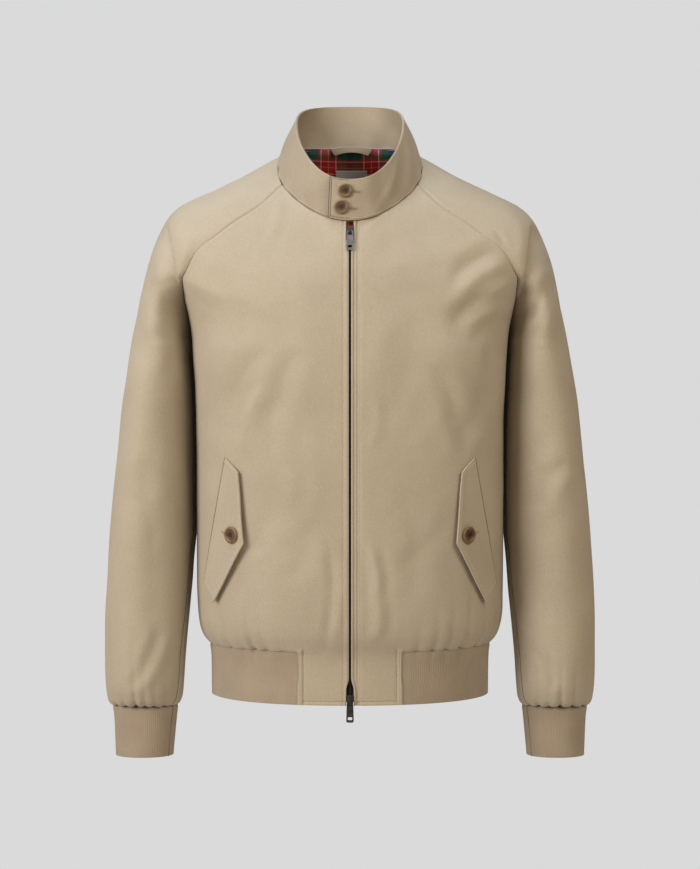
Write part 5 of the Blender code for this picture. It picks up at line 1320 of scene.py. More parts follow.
def build_cuff(side, name, finishes):
    """One rib cuff: the solid's rings, moved outwards by their ribs and the seam's dip."""
    heights = -uneven((-CUFF_SEAM_Z + SEAM_GAP, 0.662, 3), (0.662, 0.7155, 8), (0.7155, -CUFF_END_Z, 2))
    grid, length = even_columns(ring_grid(CUFF_RINGS, heights, np.linspace(0, 1, 120)), RIB_STEPS[1])
    out = normals(grid)
    out[:, 0] = out[:, -1] = unit(out[:, 0] + out[:, -1])
    around = np.linspace(0, int(length / RIB_PITCH) * RIB_PITCH, grid.shape[1])[None, :]
    depth = rib_wave(around, 0) * np.ones((len(heights), 1))
    depth[:, -1] = depth[:, 0]
    depth += seam_dip((CUFF_SEAM_Z - heights)[:, None], *RIB_SEAM_DIP) - RIB_SINK
    grid = grid + out * depth[..., None]
    add_seam_line(f"{name}_seam", grid, out, CUFF_LINE_AT, side)
    grid = with_allowance(grid, out)
    piece = add_cloth(name, grid, finishes, side, tube=True, kind="rib", slot="rib", thickness=RIB)


def half_neck_length():
    """Length of half the neck seam."""
    return float(np.linalg.norm(np.diff(neck_loop(LOOP_COUNT), axis=0), axis=1).sum())


def collar_surface(around, height):
    """The collar's outer face and its outward normals: its points, moved out by one sine wave around
    it that is strongest halfway up, another at the neck seam, slanted bell-shaped dents, the seam's
    dip and the groove of the buttoned end, and moved in where it lies under that end."""
    grid = collar_points(around, height)
    out = normals(grid)
    out *= np.sign((out * grid * (1, 1, 0)).sum(axis=-1, keepdims=True))
    around, height = around[None, :], height[:, None]
    depth = COLLAR_WAVE * np.sin(around * 31 + height * 3) * np.sin(height * math.pi) ** 2
    depth += COLLAR_BASE_WAVE * np.sin(around * 57 - 5 * height + 1) * np.exp(-np.abs(height) / 0.25)
    middle = np.sin(height.clip(0, 1) * math.pi)
    for place, spread, rise in COLLAR_DENTS:
        slanted = around - place + COLLAR_DENT_SLANT * (height - 0.4)
        depth += bump_line(slanted, spread, rise) * middle
    depth += seam_dip(np.abs(height) * COLLAR_MEAN_HEIGHT, *COLLAR_SEAM_DIP)
    length = half_neck_length()
    end = COLLAR_OVER_X / length
    under = ease((end - 1 - around - 0.004) / 0.006)
    from_end = (1 + end - around) * length
    depth += bump_line(from_end - COLLAR_STITCH_IN, *LINES["collar_end"]) * (around > 0)
    return grid + out * (depth - COLLAR_UNDER_SINK * under)[..., None], out


def build_collar(finishes):
    """The stand collar, one band whose left end is buttoned over the right one, with an allowance
    inside the body on both sides of the neck."""
    length = half_neck_length()
    around = uneven((-1 - COLLAR_UNDER_X / length, -0.93, 13), (-0.93, -0.87, 25), (-0.87, 0.82, 179),
                    (0.82, 1, 49), (1, 1 + COLLAR_OVER_X / length, 39))
    height = uneven((0, 0.06, 5), (0.06, 0.94, 22), (0.94, 1, 4))
    grid, _ = collar_surface(around, height)
    allowance, out = collar_surface(around, np.array((0, 0.04)))
    reach = COLLAR_ALLOWANCE * (0.2 + 0.8 * ease((np.abs(around) - 0.3) / 0.2))
    radial = unit(allowance * (1, 1, 0))
    allowance -= out * 0.0010 + radial * collar_step(around)[:, None]
    allowance[0] -= reach[:, None] * np.array((0, 0, 1.0))
    grid = np.concatenate((allowance, grid))
    kept = np.ones((grid.shape[0] - 1, grid.shape[1] - 1), dtype=bool)
    start, back, end = COLLAR_PART
    part = around[:-1]
    kept[0] = (np.abs(part) > back) & (part > start) & (part < end)
    kept[1] = False
    piece = add_cloth("collar", grid, finishes, kept=kept, thickness=COLLAR_CLOTH, edge=EDGE_ROUNDING)


def front_at(x, z, side):
    """Points and outward normals of a front at places given as the viewer in front sees them."""
    shape = x.shape
    x, z = x.ravel(), z.ravel()
    down = UNDERARM + UNDERARM_Z - z
    share = np.linspace(0, 1, 160)
    rows = panel_grid(FRONT_ROWS, down, share, opening_edge(down))
    index = np.clip((rows[..., 0] < x[:, None]).sum(axis=1) - 1, 0, len(share) - 2)
    each = np.arange(len(x))
    start, end = rows[each, index], rows[each, index + 1]
    part = (x - start[:, 0]) / (end[:, 0] - start[:, 0])
    point = start + (end - start) * part[:, None]
    wide_start = rows[each, np.clip(index - 2, 0, None)]
    wide_end = rows[each, np.clip(index + 3, None, len(share) - 1)]
    step = wide_end - wide_start
    out = unit(np.stack((step[:, 1], -step[:, 0], 0 * x), axis=-1))
    depth = FOLD_SHARE * fold_depth(FRONT_TABLES[side][0], side * x, z)
    point = point + out * depth[:, None]
    return point.reshape(*shape, 3), out.reshape(*shape, 3)


def flap_surface(along, across, side):
    """The flap's under side: straight lines across from its sewn edge to its free edges, lifted off the
    front by the square of the way across times a sine of the way along, and curled off at the free
    edge. Along and across are grids of shares."""
    sewn = np.array(FLAP_SEWN)
    free = np.array(FLAP_FREE)
    start = sewn[0] + (sewn[1] - sewn[0]) * along[..., None]
    upper = free[0] + (free[1] - free[0]) * (along / FLAP_BEND_SHARE)[..., None]
    past = (along - FLAP_BEND_SHARE) / (1 - FLAP_BEND_SHARE)
    lower = free[1] + (free[2] - free[1]) * past[..., None]
    end = np.where((along < FLAP_BEND_SHARE)[..., None], upper, lower)
    place = start + (end - start) * across[..., None] * FLAP_WIDEN
    point, out = front_at(place[..., 0], place[..., 1], side)
    lift = FLAP_CLEAR + FLAP_LIFT * across**2 * np.sin(math.pi * np.clip(along, 0.15, 0.85))
    lift = lift + FLAP_CURL * ease((across - 0.62) / 0.38) * (0.4 + 0.6 * along)
    return point + out * lift[..., None], out


def build_flap(side, name, finishes):
    """One slanted pocket flap of doubled cloth."""
    along = uneven((0, 0.03, 3), (0.03, 0.97, 74), (0.97, 1, 3))
    across = uneven((0, 0.06, 3), (0.06, 0.94, 34), (0.94, 1, 3))
    along, across = np.meshgrid(along, across, indexing="ij")
    grid, _ = flap_surface(along, across, side)
    piece = add_cloth(name, grid[:, ::-1], finishes, side, thickness=FLAP_CLOTH, outwards=True,
                      edge=EDGE_ROUNDING)


def build_lining(finishes):
    """The back's lining, seen through the neck: the back's form moved inwards, with ripples."""
    down = uneven((LINING_TOP, 0.27, 70))
    share = uneven((0, 0.95, 44))
    half = panel_grid(BACK_ROWS, down, share, 0 * down)
    grid = both_halves(half, half)
    out = normals(grid)
    out *= np.sign(out[..., 1:2])
    x, _, z = np.moveaxis(grid, -1, 0)
    grid = grid - out * (LINING_BEHIND + ripple(x, z, LINING_RIPPLE, SEED + 9))[..., None]
    grid[0] += LINING_RISE
    flat = flat_pattern(grid, len(share) - 1)
    flat[..., 1] -= flat[:1, :, 1]
    piece = add_cloth("back_lining", grid, finishes, flat=flat, slot="lining", thickness=LINING_CLOTH)


def build_label(finishes):
    """The bare neck label: a rectangle laid on the lining's inner face, with a faint wave below."""
    down = np.linspace(0.001, 0.12, 60)
    rows = panel_grid(BACK_ROWS, down, np.linspace(0, 0.4, 80), 0 * down)
    out = normals(rows)
    out *= np.sign(out[..., 1:2])
    rows = rows - out * (LINING_BEHIND + LINING_CLOTH + LABEL_CLEAR)
    x = np.linspace(*LABEL_X, 40)
    heights = np.linspace(*LABEL_Z, 26)
    lines = []
    for place in np.abs(x):
        y, z = np.array([interpolated(place, row[:, 0], row) for row in rows])[:, 1:].T
        order = np.argsort(z)
        lines.append(np.interp(heights, z[order], y[order]))
    across, up = np.meshgrid(x, heights)
    wave = 0.0003 * np.sin(across * 260) * ease((LABEL_Z[0] - up) / 0.02)
    grid = np.stack((across, np.array(lines).T - wave, up), axis=-1)[:, ::-1]
    piece = add_cloth("label", grid, finishes, slot="label", thickness=LABEL_CLOTH)


def build_hanger_loop(finishes):
    """The hanger loop: a strip sewn at both ends below the collar's inner face. It stands off and rises
    by an arch of 4 s (1 - s), and narrows downwards."""
    back_half = neck_loop(LOOP_COUNT)[LOOP_COUNT // 2:][::-1]
    x = np.linspace(*LOOP_ENDS_X, 60)
    _, y, z = interpolated(np.abs(x), back_half[:, 0], back_half).T
    share = (x - x[0]) / (x[-1] - x[0])
    arch = 4 * share * (1 - share)
    y = y - COLLAR_CLOTH - LOOP_CLEAR - LOOP_STAND * arch
    z = z - LOOP_DROP + LOOP_DROP * arch
    parts = zip(np.linspace(1, 1 - LOOP_NARROW, 9), np.linspace(LOOP_WIDTH / 2, -LOOP_WIDTH / 2, 9))
    rows = [np.stack((x.mean() + (x - x.mean()) * part, y, z + up), axis=-1) for part, up in parts]
    grid = np.array(rows)[:, ::-1]
    piece = add_cloth("hanger_loop", grid, finishes, thickness=LOOP_CLOTH, edge=0.0004)


def behind_middle(heights, behind, x=0.0):
    """Points behind the front's middle line at given heights, and the unit direction inwards there."""
    down = np.linspace(0, HEM, 600)
    line_y = body_column(FRONT_ROWS["middle_y"], BODY_ROWS["front_y"], down)
    line_z = body_column(FRONT_ROWS["middle_z"], BODY_ROWS["front_z"], down)
    y = np.interp(-heights, -line_z, line_y)
    slope = np.interp(-heights, -line_z, np.gradient(line_y, line_z))
    inwards = unit(np.stack((0 * y, np.ones_like(y), -slope), axis=-1))
    return np.stack((0 * y + x, y, heights), axis=-1) + inwards * behind, inwards


def build_teeth(finish):
    """The zip's closed teeth: short rounded bars across the gap, from the left and the right in turn,
    behind the fronts' inner face."""
    top = TOP_SLIDER_Z + SLIDER_LENGTH / 2 - CHAIN_INSET
    bottom = BOTTOM_SLIDER_Z - SLIDER_LENGTH / 2 + CHAIN_INSET
    heights = np.arange(top, bottom, -TOOTH_PITCH)
    turn = np.where(np.arange(len(heights)) % 2 == 0, 1.0, -1.0)
    centres, inwards = behind_middle(heights, TOOTH_BEHIND, turn * TOOTH_SHIFT)
    way = np.tile((1.0, 0, 0), (len(heights), 1))
    bars = small_bars(centres, way, np.cross(way, inwards), inwards, *TOOTH)
    add_bars("zip_teeth", bars, finish, ("zip_chain",))


def build_zip_backing(tape, lining):
    """Behind the teeth: the zip's tape as one dark band, and above the slider the small end of the
    fly's lining. Both are strips at even depths behind the middle line."""
    strips = (
        ("zip_band", tape, "tape", 0.0066, TOP_SLIDER_Z + 0.004, BOTTOM_SLIDER_Z + 0.002, 0.0052, 160),
        ("fly_lining", lining, "lining", 0.0090, TOP_SLIDER_Z + 0.021, TOP_SLIDER_Z, 0.0064, 16),
    )
    for name, finish, slot, half, top, bottom, behind, count in strips:
        middle, _ = behind_middle(np.linspace(top, bottom, count), behind)
        x = np.linspace(-half, half, 9)
        grid = middle[:, None] + x[None, :, None] * np.array((1.0, 0, 0))
        mesh = cloth_mesh(name, grid, flat_pattern(grid) + STRIP_PATTERN_AT)
        piece = add_piece(name, mesh, (finish,), ())
        add_wall(piece, STRIP_THICKNESS)


def line_down(surface, out, x):
    """The path on a front at a given distance from the middle, and its normals, row by row."""
    return [np.array([interpolated(x, row[:, 0], values) for row, values in zip(surface, rows)])
            for rows in (surface, out)]


def row_at(surface, out, place, start_x, end_x):
    """The path along a front's row at a place down it, between two distances from the middle, and its
    normals."""
    row = int(np.argmin(np.abs(FRONT_DOWN - place)))
    x = surface[row, :, 0]
    kept = (x > start_x) & (x < end_x)
    return surface[row, kept], out[row, kept]


def front_stitches(surface, out, side):
    """The stitch rows of one front: beside the zip, along both sides of the rib's end strip, and above
    the hem."""
    fly = FLY_STITCH_X[1] if side > 0 else FLY_STITCH_X[0]
    strip_top = WAIST_SEAM - 0.004
    lines = ((fly, 0.012), (BLOCK_STRIP_X - 0.0011, strip_top), (BLOCK_EDGE_X - 0.0012, strip_top))
    rows = []
    for x, start in lines:
        low = FRONT_DOWN > start
        rows.append(stitch_bars(*line_down(surface[low], out[low], x)))
    rows.append(stitch_bars(*row_at(surface, out, HEM - HEM_STITCH_UP, fly, BLOCK_STRIP_X - 0.002)))
    return np.concatenate(rows) * (side, 1, 1)


def collar_stitches():
    """The collar's stitch rows above the neck seam and below the rim, and those of its buttoned end:
    its three sides, and dark bars just under the edge itself, a painted shadow line along it."""
    length = half_neck_length()
    end = 1 + (COLLAR_OVER_X - COLLAR_STITCH_IN) / length
    around = uneven((-1 + COLLAR_OVER_X / length, 0.82, 199), (0.82, end, 59))
    fine = np.linspace(0, 1, 41)
    grid, out = collar_surface(around, fine)
    share = COLLAR_STITCH_IN / COLLAR_MEAN_HEIGHT
    low, high = (int(np.argmin(np.abs(fine - height))) for height in (share, 1 - share * 0.9))
    open_part = around < 1.0
    rows = [stitch_bars(grid[row, open_part], out[row, open_part]) for row in (low, high)]
    edge, edge_out = collar_surface(np.linspace(end - 0.01, 1 + COLLAR_OVER_X / length, 4), fine)
    start = int(np.argmin(np.abs(around - 1.0)))
    ends = [
        stitch_bars(grid[low:high + 1, -1], out[low:high + 1, -1]),
        stitch_bars(edge[:, -1] - edge_out[:, -1] * SHADOW_LINE_BELOW, edge_out[:, -1], "painted_edge_shadow"),
        *(stitch_bars(grid[row, start:], out[row, start:]) for row in (low, high)),
    ]
    return np.concatenate(rows), np.concatenate(ends)


def flap_stitches(side):
    """A flap's stitch row along its three free edges."""
    inset = FLAP_STITCH_IN / math.dist(*FLAP_SEWN)
    start, middle, end = np.linspace(0, 1, 20), np.linspace(inset, 1 - inset, 90), np.linspace(1, 0, 20)
    along = np.concatenate((0 * start + inset, middle, 0 * end + 1 - inset))
    width = np.interp(along, (0, FLAP_BEND_SHARE, 1), FLAP_WIDTHS)
    rise = np.concatenate((start, np.ones_like(middle), end))
    across = (1 - FLAP_STITCH_IN / width) * rise
    point, out = flap_surface(along[None], across[None], side)
    return stitch_bars(point[0] + out[0] * FLAP_CLOTH, out[0]) * (side, 1, 1)


def flap_shadow_and_hole(side):
    """The close dark bars along a flap's sewn edge, a painted shadow line for the crevice there drawn as
    stitches, and its buttonhole, from the button to that edge."""
    point, out = flap_surface(np.linspace(0, 1, 60)[None], np.full((1, 60), -0.012), side)
    sewn = stitch_bars(point[0] + out[0] * 0.0016, out[0], "flap_shadow_bars")
    along, *ends = FLAP_BUTTONHOLE
    point, out = flap_surface(np.full((1, 2), along), np.array((ends,)), side)
    start, way = point[0, 0] + out[0, 0] * FLAP_CLOTH, point[0, 1] - point[0, 0]
    length = float(np.linalg.norm(way))
    hole = hole_bars(start, out[0, 0], way / length, length)
    return [bars * (side, 1, 1) for bars in (sewn, hole)]


def hole_bars(point, out, way, length):
    """A buttonhole: two rows of close stitches along its slit."""
    slit = point + way * length * np.linspace(0, 1, 12)[:, None]
    across = np.cross(out, way)
    ways = np.tile(out, (12, 1))
    return np.concatenate([stitch_bars(slit + across * step, ways, "buttonhole")
                           for step in (-HOLE_HALF_GAP, HOLE_HALF_GAP)])


def build_all_stitches(surfaces):
    """All topstitching, in the cloth's colour, the dark painted shadow lines at the flaps' sewn edges
    and the collar's buttoned end, and the buttonholes beside the buttons.
    """
    for side, name in SIDES:
        add_bars(f"front_{name}_stitches", front_stitches(*surfaces[side], side), THREAD)
        add_bars(f"flap_{name}_stitches", flap_stitches(side), THREAD)
        sewn, hole = flap_shadow_and_hole(side)
        # A painted shadow line along the flap's sewn edge, in dark thread
        add_bars(f"flap_{name}_seam", sewn, DARK_THREAD_AND_SHADOW)
        add_bars(f"flap_{name}_buttonhole", hole, SEAM_THREAD)
    rows, ends = collar_stitches()
    add_bars("collar_stitches", rows, THREAD)
    # The buttoned end's stitches are dark thread, and the bars under its edge are a painted shadow line
    add_bars("collar_end_stitches_and_shadow", ends, DARK_THREAD_AND_SHADOW)
    holes = []
    for across, height in COLLAR_BUTTONS:
        around = 1 - across / half_neck_length()
        corners = np.array((around - 0.012, around)), np.array((height, height + 0.02))
        grid, out = collar_surface(*corners)
        way = unit(grid[0, 0] - grid[0, 1])
        holes.append(hole_bars(grid[0, 1] + way * 0.002, out[0, 1], way, HOLE_LENGTH))
    add_bars("collar_buttonholes", np.concatenate(holes), SEAM_THREAD)


def add_node(tree, kind, inputs=(), **settings):
    """A shader node with its settings; each input, by name or number, is set to a value, or to a colour
    in hex, or linked to an output."""
    node = tree.nodes.new(kind)
    for name, value in settings.items():
        setattr(node, name, value)
    for name, value in dict(inputs).items():
        socket = node.inputs[name]
        if isinstance(value, bpy.types.NodeSocket):
            tree.links.new(value, socket)
        else:
            socket.default_value = linear(value) if isinstance(value, str) else value
    return node


def new_material(name, roughness, metallic=0.0, **sockets):
    """A material whose Principled shader has constant finish values."""
    made = bpy.data.materials.new(name)
    made.use_nodes = True
    shader = made.node_tree.nodes["Principled BSDF"]
    shader.inputs["Roughness"].default_value = roughness
    shader.inputs["Metallic"].default_value = metallic
    for socket, value in sockets.items():
        shader.inputs[socket.replace("_", " ")].default_value = value
    return made, made.node_tree, shader


def finish_shader(tree, shader, mix, bump=None):
    """Links the shader's colour, from a factor and the two colours it lies between, and its bump, from
    a strength, a distance and a height."""
    colour = add_node(tree, "ShaderNodeMix", dict(zip((0, 6, 7), mix)), data_type="RGBA")
    tree.links.new(colour.outputs[2], shader.inputs["Base Color"])
    if bump:
        node = add_node(tree, "ShaderNodeBump", dict(zip(("Strength", "Distance", "Height"), bump)))
        tree.links.new(node.outputs[0], shader.inputs["Normal"])


def set_stops(ramp, stops):
    """Gives a colour ramp its stops, each a position and the name of a colour."""
    for number, (position, colour) in enumerate(stops):
        stop = ramp.elements[number] if number < 2 else ramp.elements.new(position)
        stop.position = position
        stop.color = linear(COLOURS[colour])


def cloth_parts(tree, weave, way="XY"):
    """Yarns of a cloth as bands along its flat pattern, one period for each thread, and its places."""
    place = add_node(tree, "ShaderNodeTexCoord").outputs
    bands = [
        add_node(tree, "ShaderNodeTexWave",
                 {"Vector": place["UV"], "Scale": WAVE_LENGTH / WEAVES[weave]},
                 wave_type="BANDS", bands_direction=axis).outputs["Fac"]
        for axis in way
    ]
    return place, bands


def woven_cloth(name, light, dark, weave):
    """Cotton and polyester poplin, a plain weave of fine threads, washed and brushed: tiny crossing
    bumps, slightly uneven yarn colour, and a soft sheen where it turns away."""
    made, tree, shader = new_material(name, 0.82, Sheen_Weight=0.12, Sheen_Roughness=0.45)
    place, bands = cloth_parts(tree, weave)
    cross = add_node(tree, "ShaderNodeMath", {0: bands[0], 1: bands[1]}, operation="MULTIPLY")
    cloud, slub = (
        add_node(tree, "ShaderNodeTexNoise",
                 {"Vector": place["Object"], "Scale": scale, "Detail": detail})
        for scale, detail in ((14.0, 4.0), (900.0, 2.0))
    )
    both = add_node(tree, "ShaderNodeMath", {0: slub.outputs["Fac"], 1: 2.0, 2: cloud.outputs["Fac"]},
                    operation="MULTIPLY_ADD")
    share = add_node(tree, "ShaderNodeMapRange", {0: both.outputs[0], "From Min": 1.0, "From Max": 2.0})
    grain = add_node(tree, "ShaderNodeMath", {0: slub.outputs["Fac"], 1: 0.8, 2: cross.outputs[0]},
                     operation="MULTIPLY_ADD")
    finish_shader(tree, shader, (share.outputs[0], dark, light), (0.35, 0.00012, grain.outputs[0]))
    return made


def plain_material(name, colour, roughness, scale, darker):
    """One colour, slightly uneven, for small parts."""
    made, tree, shader = new_material(name, roughness)
    place = add_node(tree, "ShaderNodeTexCoord").outputs
    cloud = add_node(tree, "ShaderNodeTexNoise",
                     {"Vector": place["Object"], "Scale": scale, "Detail": 4.0})
    dark = tuple(value * darker for value in linear(colour)[:3]) + (1.0,)
    finish_shader(tree, shader, (cloud.outputs["Fac"], dark, colour))
    return made


def stripes(tree, along):
    """The tartan's colours along one direction: its sett repeats, each stripe a flat step."""
    turn = add_node(tree, "ShaderNodeMath", {0: along, 1: 1 / SETT_LENGTH}, operation="MULTIPLY")
    share = add_node(tree, "ShaderNodeMath", {0: turn.outputs[0]}, operation="FRACT")
    node = add_node(tree, "ShaderNodeValToRGB", {"Fac": share.outputs[0]})
    node.color_ramp.interpolation = "CONSTANT"
    colours, widths = zip(*SETT)
    set_stops(node.color_ramp, zip(np.cumsum((0.0, *widths[:-1])) / sum(widths), colours))
    return node.outputs["Color"]


def tartan(name):
    """Cotton tartan, a twill of dyed yarns: warp and weft carry the same sett and show through each
    other in fine diagonal lines, so that where two stripes cross the colour lies between them."""
    made, tree, shader = new_material(name, 0.75, Sheen_Weight=0.08)
    place = add_node(tree, "ShaderNodeTexCoord").outputs
    parts = add_node(tree, "ShaderNodeSeparateXYZ", {0: place["UV"]}).outputs
    twill = add_node(tree, "ShaderNodeTexWave",
                     {"Vector": place["UV"], "Scale": WAVE_LENGTH / WEAVES["twill"]},
                     wave_type="BANDS", bands_direction="DIAGONAL").outputs["Fac"]
    mix = (twill, stripes(tree, parts["X"]), stripes(tree, parts["Y"]))
    finish_shader(tree, shader, mix, (0.3, 0.0001, twill))
    return made


def rib_knit(name, light, dark):
    """Cotton rib knit, doubled: soft, matt loops in columns along the ribs, with a little fuzz."""
    made, tree, shader = new_material(name, 0.92, Sheen_Weight=0.2, Sheen_Roughness=0.5)
    place, bands = cloth_parts(tree, "knit")
    fuzz, cloud = (
        add_node(tree, "ShaderNodeTexNoise",
                 {"Vector": place["Object"], "Scale": scale, "Detail": detail})
        for scale, detail in ((650.0, 4.0), (30.0, 3.0))
    )
    loops = add_node(tree, "ShaderNodeMath", {0: bands[0], 1: bands[1], 2: fuzz.outputs["Fac"]},
                     operation="MULTIPLY_ADD")
    both = add_node(tree, "ShaderNodeMath", {0: cloud.outputs["Fac"], 1: 1.0, 2: loops.outputs[0]},
                    operation="MULTIPLY_ADD")
    share = add_node(tree, "ShaderNodeMapRange", {0: both.outputs[0], "From Min": 0.6, "From Max": 1.9})
    finish_shader(tree, shader, (share.outputs[0], dark, light), (0.6, 0.0003, loops.outputs[0]))
    return made


def satin(name, light, dark):
    """Polyester satin, woven: a faint lustre and close lengthwise threads."""
    made, tree, shader = new_material(name, 0.45, Sheen_Weight=0.1)
    _, (threads,) = cloth_parts(tree, "satin", "Y")
    finish_shader(tree, shader, (threads, dark, light), (0.3, 0.0001, threads))
    return made


def cast_metal(name, light, dark):
    """Die-cast zinc, nickelled and tumbled: softly polished grey, duller and darker in patches, with
    fine scratches across."""
    made, tree, shader = new_material(name, 0.32, 0.9)
    place = add_node(tree, "ShaderNodeTexCoord").outputs
    patch = add_node(tree, "ShaderNodeTexNoise",
                     {"Vector": place["Object"], "Scale": 160.0, "Detail": 3.0})
    turned = add_node(tree, "ShaderNodeMapping",
                      {"Vector": place["Object"], "Scale": (300, 300, 2600)})
    scratch = add_node(tree, "ShaderNodeTexNoise",
                       {"Vector": turned.outputs[0], "Scale": 1.0, "Detail": 2.0}).outputs["Fac"]
    share = add_node(tree, "ShaderNodeMapRange",
                     {0: patch.outputs["Fac"], "From Min": 0.35, "From Max": 0.6})
    rough = add_node(tree, "ShaderNodeMapRange", {0: scratch, "To Min": 0.25, "To Max": 0.5})
    tree.links.new(rough.outputs[0], shader.inputs["Roughness"])
    finish_shader(tree, shader, (share.outputs[0], dark, light), (0.15, 0.0001, scratch))
    return made


def horn(name, middle, radius):
    """Imitation horn, cast and turned polyester: glossy brown with darker cloudy streaks, paler at the
    rim where light passes through it."""
    made, tree, shader = new_material(name, 0.55, IOR=1.45)
    place = add_node(tree, "ShaderNodeTexCoord").outputs
    centred = add_node(tree, "ShaderNodeMapping",
                       {"Vector": place["Object"], "Location": -Vector(middle)})
    streak = add_node(tree, "ShaderNodeMapping",
                      {"Vector": centred.outputs[0], "Rotation": (0, 0.7, 0), "Scale": (70, 120, 160)})
    noise = add_node(tree, "ShaderNodeTexNoise",
                     {"Vector": streak.outputs[0], "Scale": 1.0, "Detail": 4.0})
    away = add_node(tree, "ShaderNodeVectorMath", {0: centred.outputs[0]}, operation="LENGTH")
    share = add_node(tree, "ShaderNodeMath", {0: away.outputs["Value"], 1: 0.6 / radius},
                     operation="MULTIPLY")
    mixed = add_node(tree, "ShaderNodeMath", {0: noise.outputs["Fac"], 1: 0.9, 2: share.outputs[0]},
                     operation="MULTIPLY_ADD")
    node = add_node(tree, "ShaderNodeValToRGB", {"Fac": mixed.outputs[0]})
    set_stops(node.color_ramp, ((0.55, "horn"), (0.8, "horn_middle"), (1.0, "horn_rim")))
    tree.links.new(node.outputs["Color"], shader.inputs["Base Color"])
    return made


def dress_node(node, finish):
    """Gives a solid that stays shown its finish."""
    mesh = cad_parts[node].data
    mesh.materials.clear()
    mesh.materials.append(finish)
    mesh.polygons.foreach_set("material_index", np.zeros(len(mesh.polygons), dtype=np.int32))


def node_points(node):
    """The points of a solid's mesh."""
    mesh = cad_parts[node].data
    points = np.empty(len(mesh.vertices) * 3)
    mesh.vertices.foreach_get("co", points)
    return points.reshape(-1, 3)


def dress_button(node):
    """A button's horn, pale at the rim, and two short threads that join its holes."""
    points = node_points(node)
    low, high = points.min(axis=0), points.max(axis=0)
    middle = (low + high) / 2
    _, vectors = np.linalg.eigh(np.cov((points - middle).T))
    out = vectors[:, 0] * -np.sign(vectors[1, 0])
    dress_node(node, horn(f"imitation_horn_{node}", middle.tolist(), (high[2] - low[2]) / 2))
    across = unit(np.cross(out, (0, 0, 1.0)))
    up = np.cross(across, out)
    up *= np.sign(up[2])
    reach = BUTTON_HOLE_SPREAD * math.cos(math.pi / 4)
    seat = middle + out * (BUTTON_THICKNESS / 2 - BUTTON_THREAD_SINK)
    centres = np.array((seat + up * reach, seat - up * reach))
    ways = (np.array((way, way)) for way in (across, up, out))
    add_bars(f"{node}_thread", small_bars(centres, *ways, *BUTTON_THREAD), DARK_THREAD_AND_SHADOW)


def add_camera():
    """The camera: straight in front and level."""
    data = bpy.data.cameras.new("camera")
    data.sensor_width = SENSOR
    data.sensor_fit = "VERTICAL"
    data.sensor_height = SENSOR
    data.lens = SENSOR * CAMERA_DISTANCE / VIEW_HEIGHT
    camera = put("camera", data)
    camera.location = (0, -CAMERA_DISTANCE, CAMERA_HEIGHT)
    camera.rotation_euler = (math.radians(90), 0, 0)
    bpy.context.scene.camera = camera


def add_light(name, place, power):
    """A soft square light that faces the jacket's middle."""
    data = bpy.data.lights.new(name, "AREA")
    data.size = LIGHT_SIZE
    data.energy = power
    data.color = linear(COLOURS[name])[:3]
    light = put(name, data)
    light.location = place
    light.rotation_euler = (Vector(LIGHT_AIM) - Vector(place)).to_track_quat("-Z", "Y").to_euler()


def add_studio():
    """An even pale surround that lights the jacket only a little and warmly, a pale floor far below, a
    soft key light from the viewer's left, a weaker one from the right and a cool one from above."""
    world = bpy.data.worlds.new("surround")
    bpy.context.scene.world = world
    world.use_nodes = True
    tree = world.node_tree
    seen = add_node(tree, "ShaderNodeLightPath").outputs["Is Camera Ray"]
    inputs = {0: seen, 6: COLOURS["ambient"], 7: COLOURS["backdrop"]}
    colour = add_node(tree, "ShaderNodeMix", inputs, data_type="RGBA").outputs[2]
    tree.links.new(colour, tree.nodes["Background"].inputs["Color"])
    bpy.context.scene.view_settings.view_transform = "Standard"
    for light in LIGHTS:
        add_light(*light)
    turn = np.linspace(0, 2 * math.pi, 97)[:-1]
    ring = np.stack((np.cos(turn), np.sin(turn), 0 * turn), axis=-1) * FLOOR_RADIUS + (0, 0, FLOOR_Z)
    mesh = bpy.data.meshes.new("floor")
    mesh.from_pydata(ring.tolist(), [], [list(range(len(ring)))])
    mesh.materials.append(plain_material("painted_floor", COLOURS["backdrop"], 0.9, 3.0, 0.96))
    put("floor", mesh)


add_camera()
add_studio()
CLOTH = woven_cloth("cotton_poplin", COLOURS["cloth"], COLOURS["cloth_dark"], "poplin")
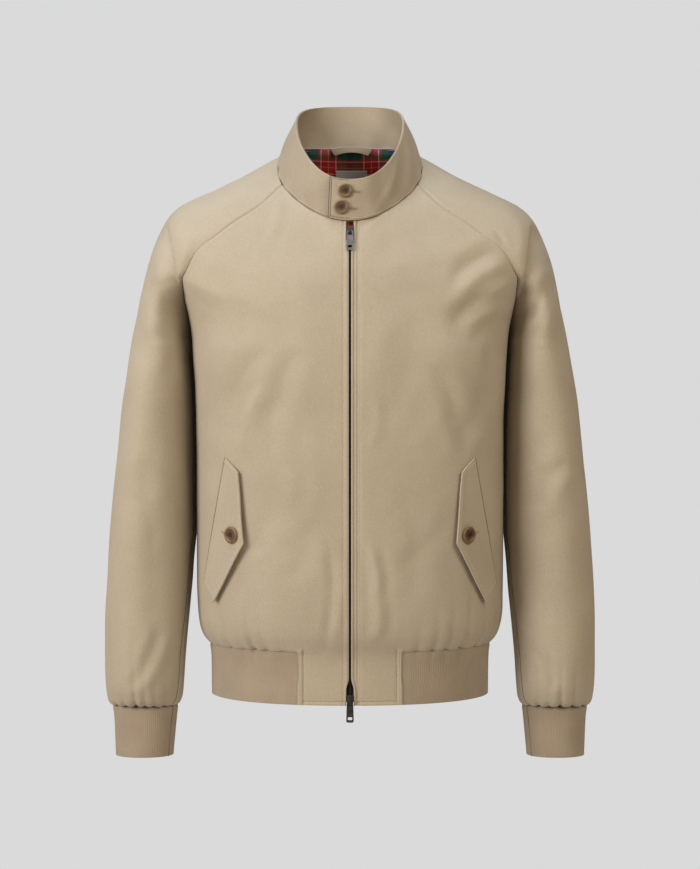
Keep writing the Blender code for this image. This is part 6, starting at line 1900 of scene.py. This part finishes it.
# The collar's poplin is a darker copy of the body's: painted shade
SHADED_COLLAR_POPLIN = woven_cloth("collar_poplin_painted_shade", COLOURS["collar"], COLOURS["collar_shaded_dark"], "poplin")
LINING = tartan("tartan_lining")
KNIT = rib_knit("rib_knit", COLOURS["rib"], COLOURS["rib_dark"])
LABEL = satin("label_satin", COLOURS["label"], COLOURS["label_dark"])
THREAD = plain_material("polyester_thread", COLOURS["thread"], 0.55, 900.0, 0.75)
SEAM_THREAD = plain_material("buttonhole_twist", COLOURS["seam_thread"], 0.5, 900.0, 0.6)
# Dark thread for buttons and seams, also used for the painted shadow lines at the flaps and the collar's
# end
DARK_THREAD_AND_SHADOW = plain_material("dark_thread_and_painted_shadow", COLOURS["dark_thread_and_shadow"], 0.6, 900.0, 0.75)
ZINC = cast_metal("nickelled_zinc", COLOURS["metal"], COLOURS["metal_dark"])
DARK_ZINC_AND_SHADE = cast_metal("antiqued_zinc_and_painted_shade", COLOURS["slider"], COLOURS["slider_dark"])
TEETH = plain_material("moulded_teeth", COLOURS["chain"], 0.35, 400.0, 0.6)
TAPE = woven_cloth("woven_tape", COLOURS["tape"], COLOURS["chain"], "tape")
FRONTS = {side: build_front(side, f"front_{name}", (CLOTH, LINING)) for side, name in SIDES}
build_back((CLOTH, LINING))
for side, name in SIDES:
    build_sleeve(side, f"sleeve_{name}", (CLOTH, LINING))
build_waistband((KNIT,))
for side, name in SIDES:
    build_cuff(side, f"cuff_{name}", (KNIT,))
build_collar((SHADED_COLLAR_POPLIN,))
for side, name in SIDES:
    build_flap(side, f"flap_{name}", (CLOTH,))
build_lining((LINING,))
build_label((LABEL,))
build_hanger_loop((CLOTH,))
build_teeth(TEETH)
build_zip_backing(TAPE, LINING)
build_all_stitches(FRONTS)
dress_node("pull_tab_top", ZINC)
# The sliders have the darker zinc; on the lower pull tab, the same metal as the upper one, it is painted
# shade
for node in ("slider_top", "slider_bottom", "pull_tab_bottom"):
    dress_node(node, DARK_ZINC_AND_SHADE)
for node in ("zip_tape_left", "zip_tape_right"):
    dress_node(node, TAPE)
for node in BUTTONS:
    dress_button(node)
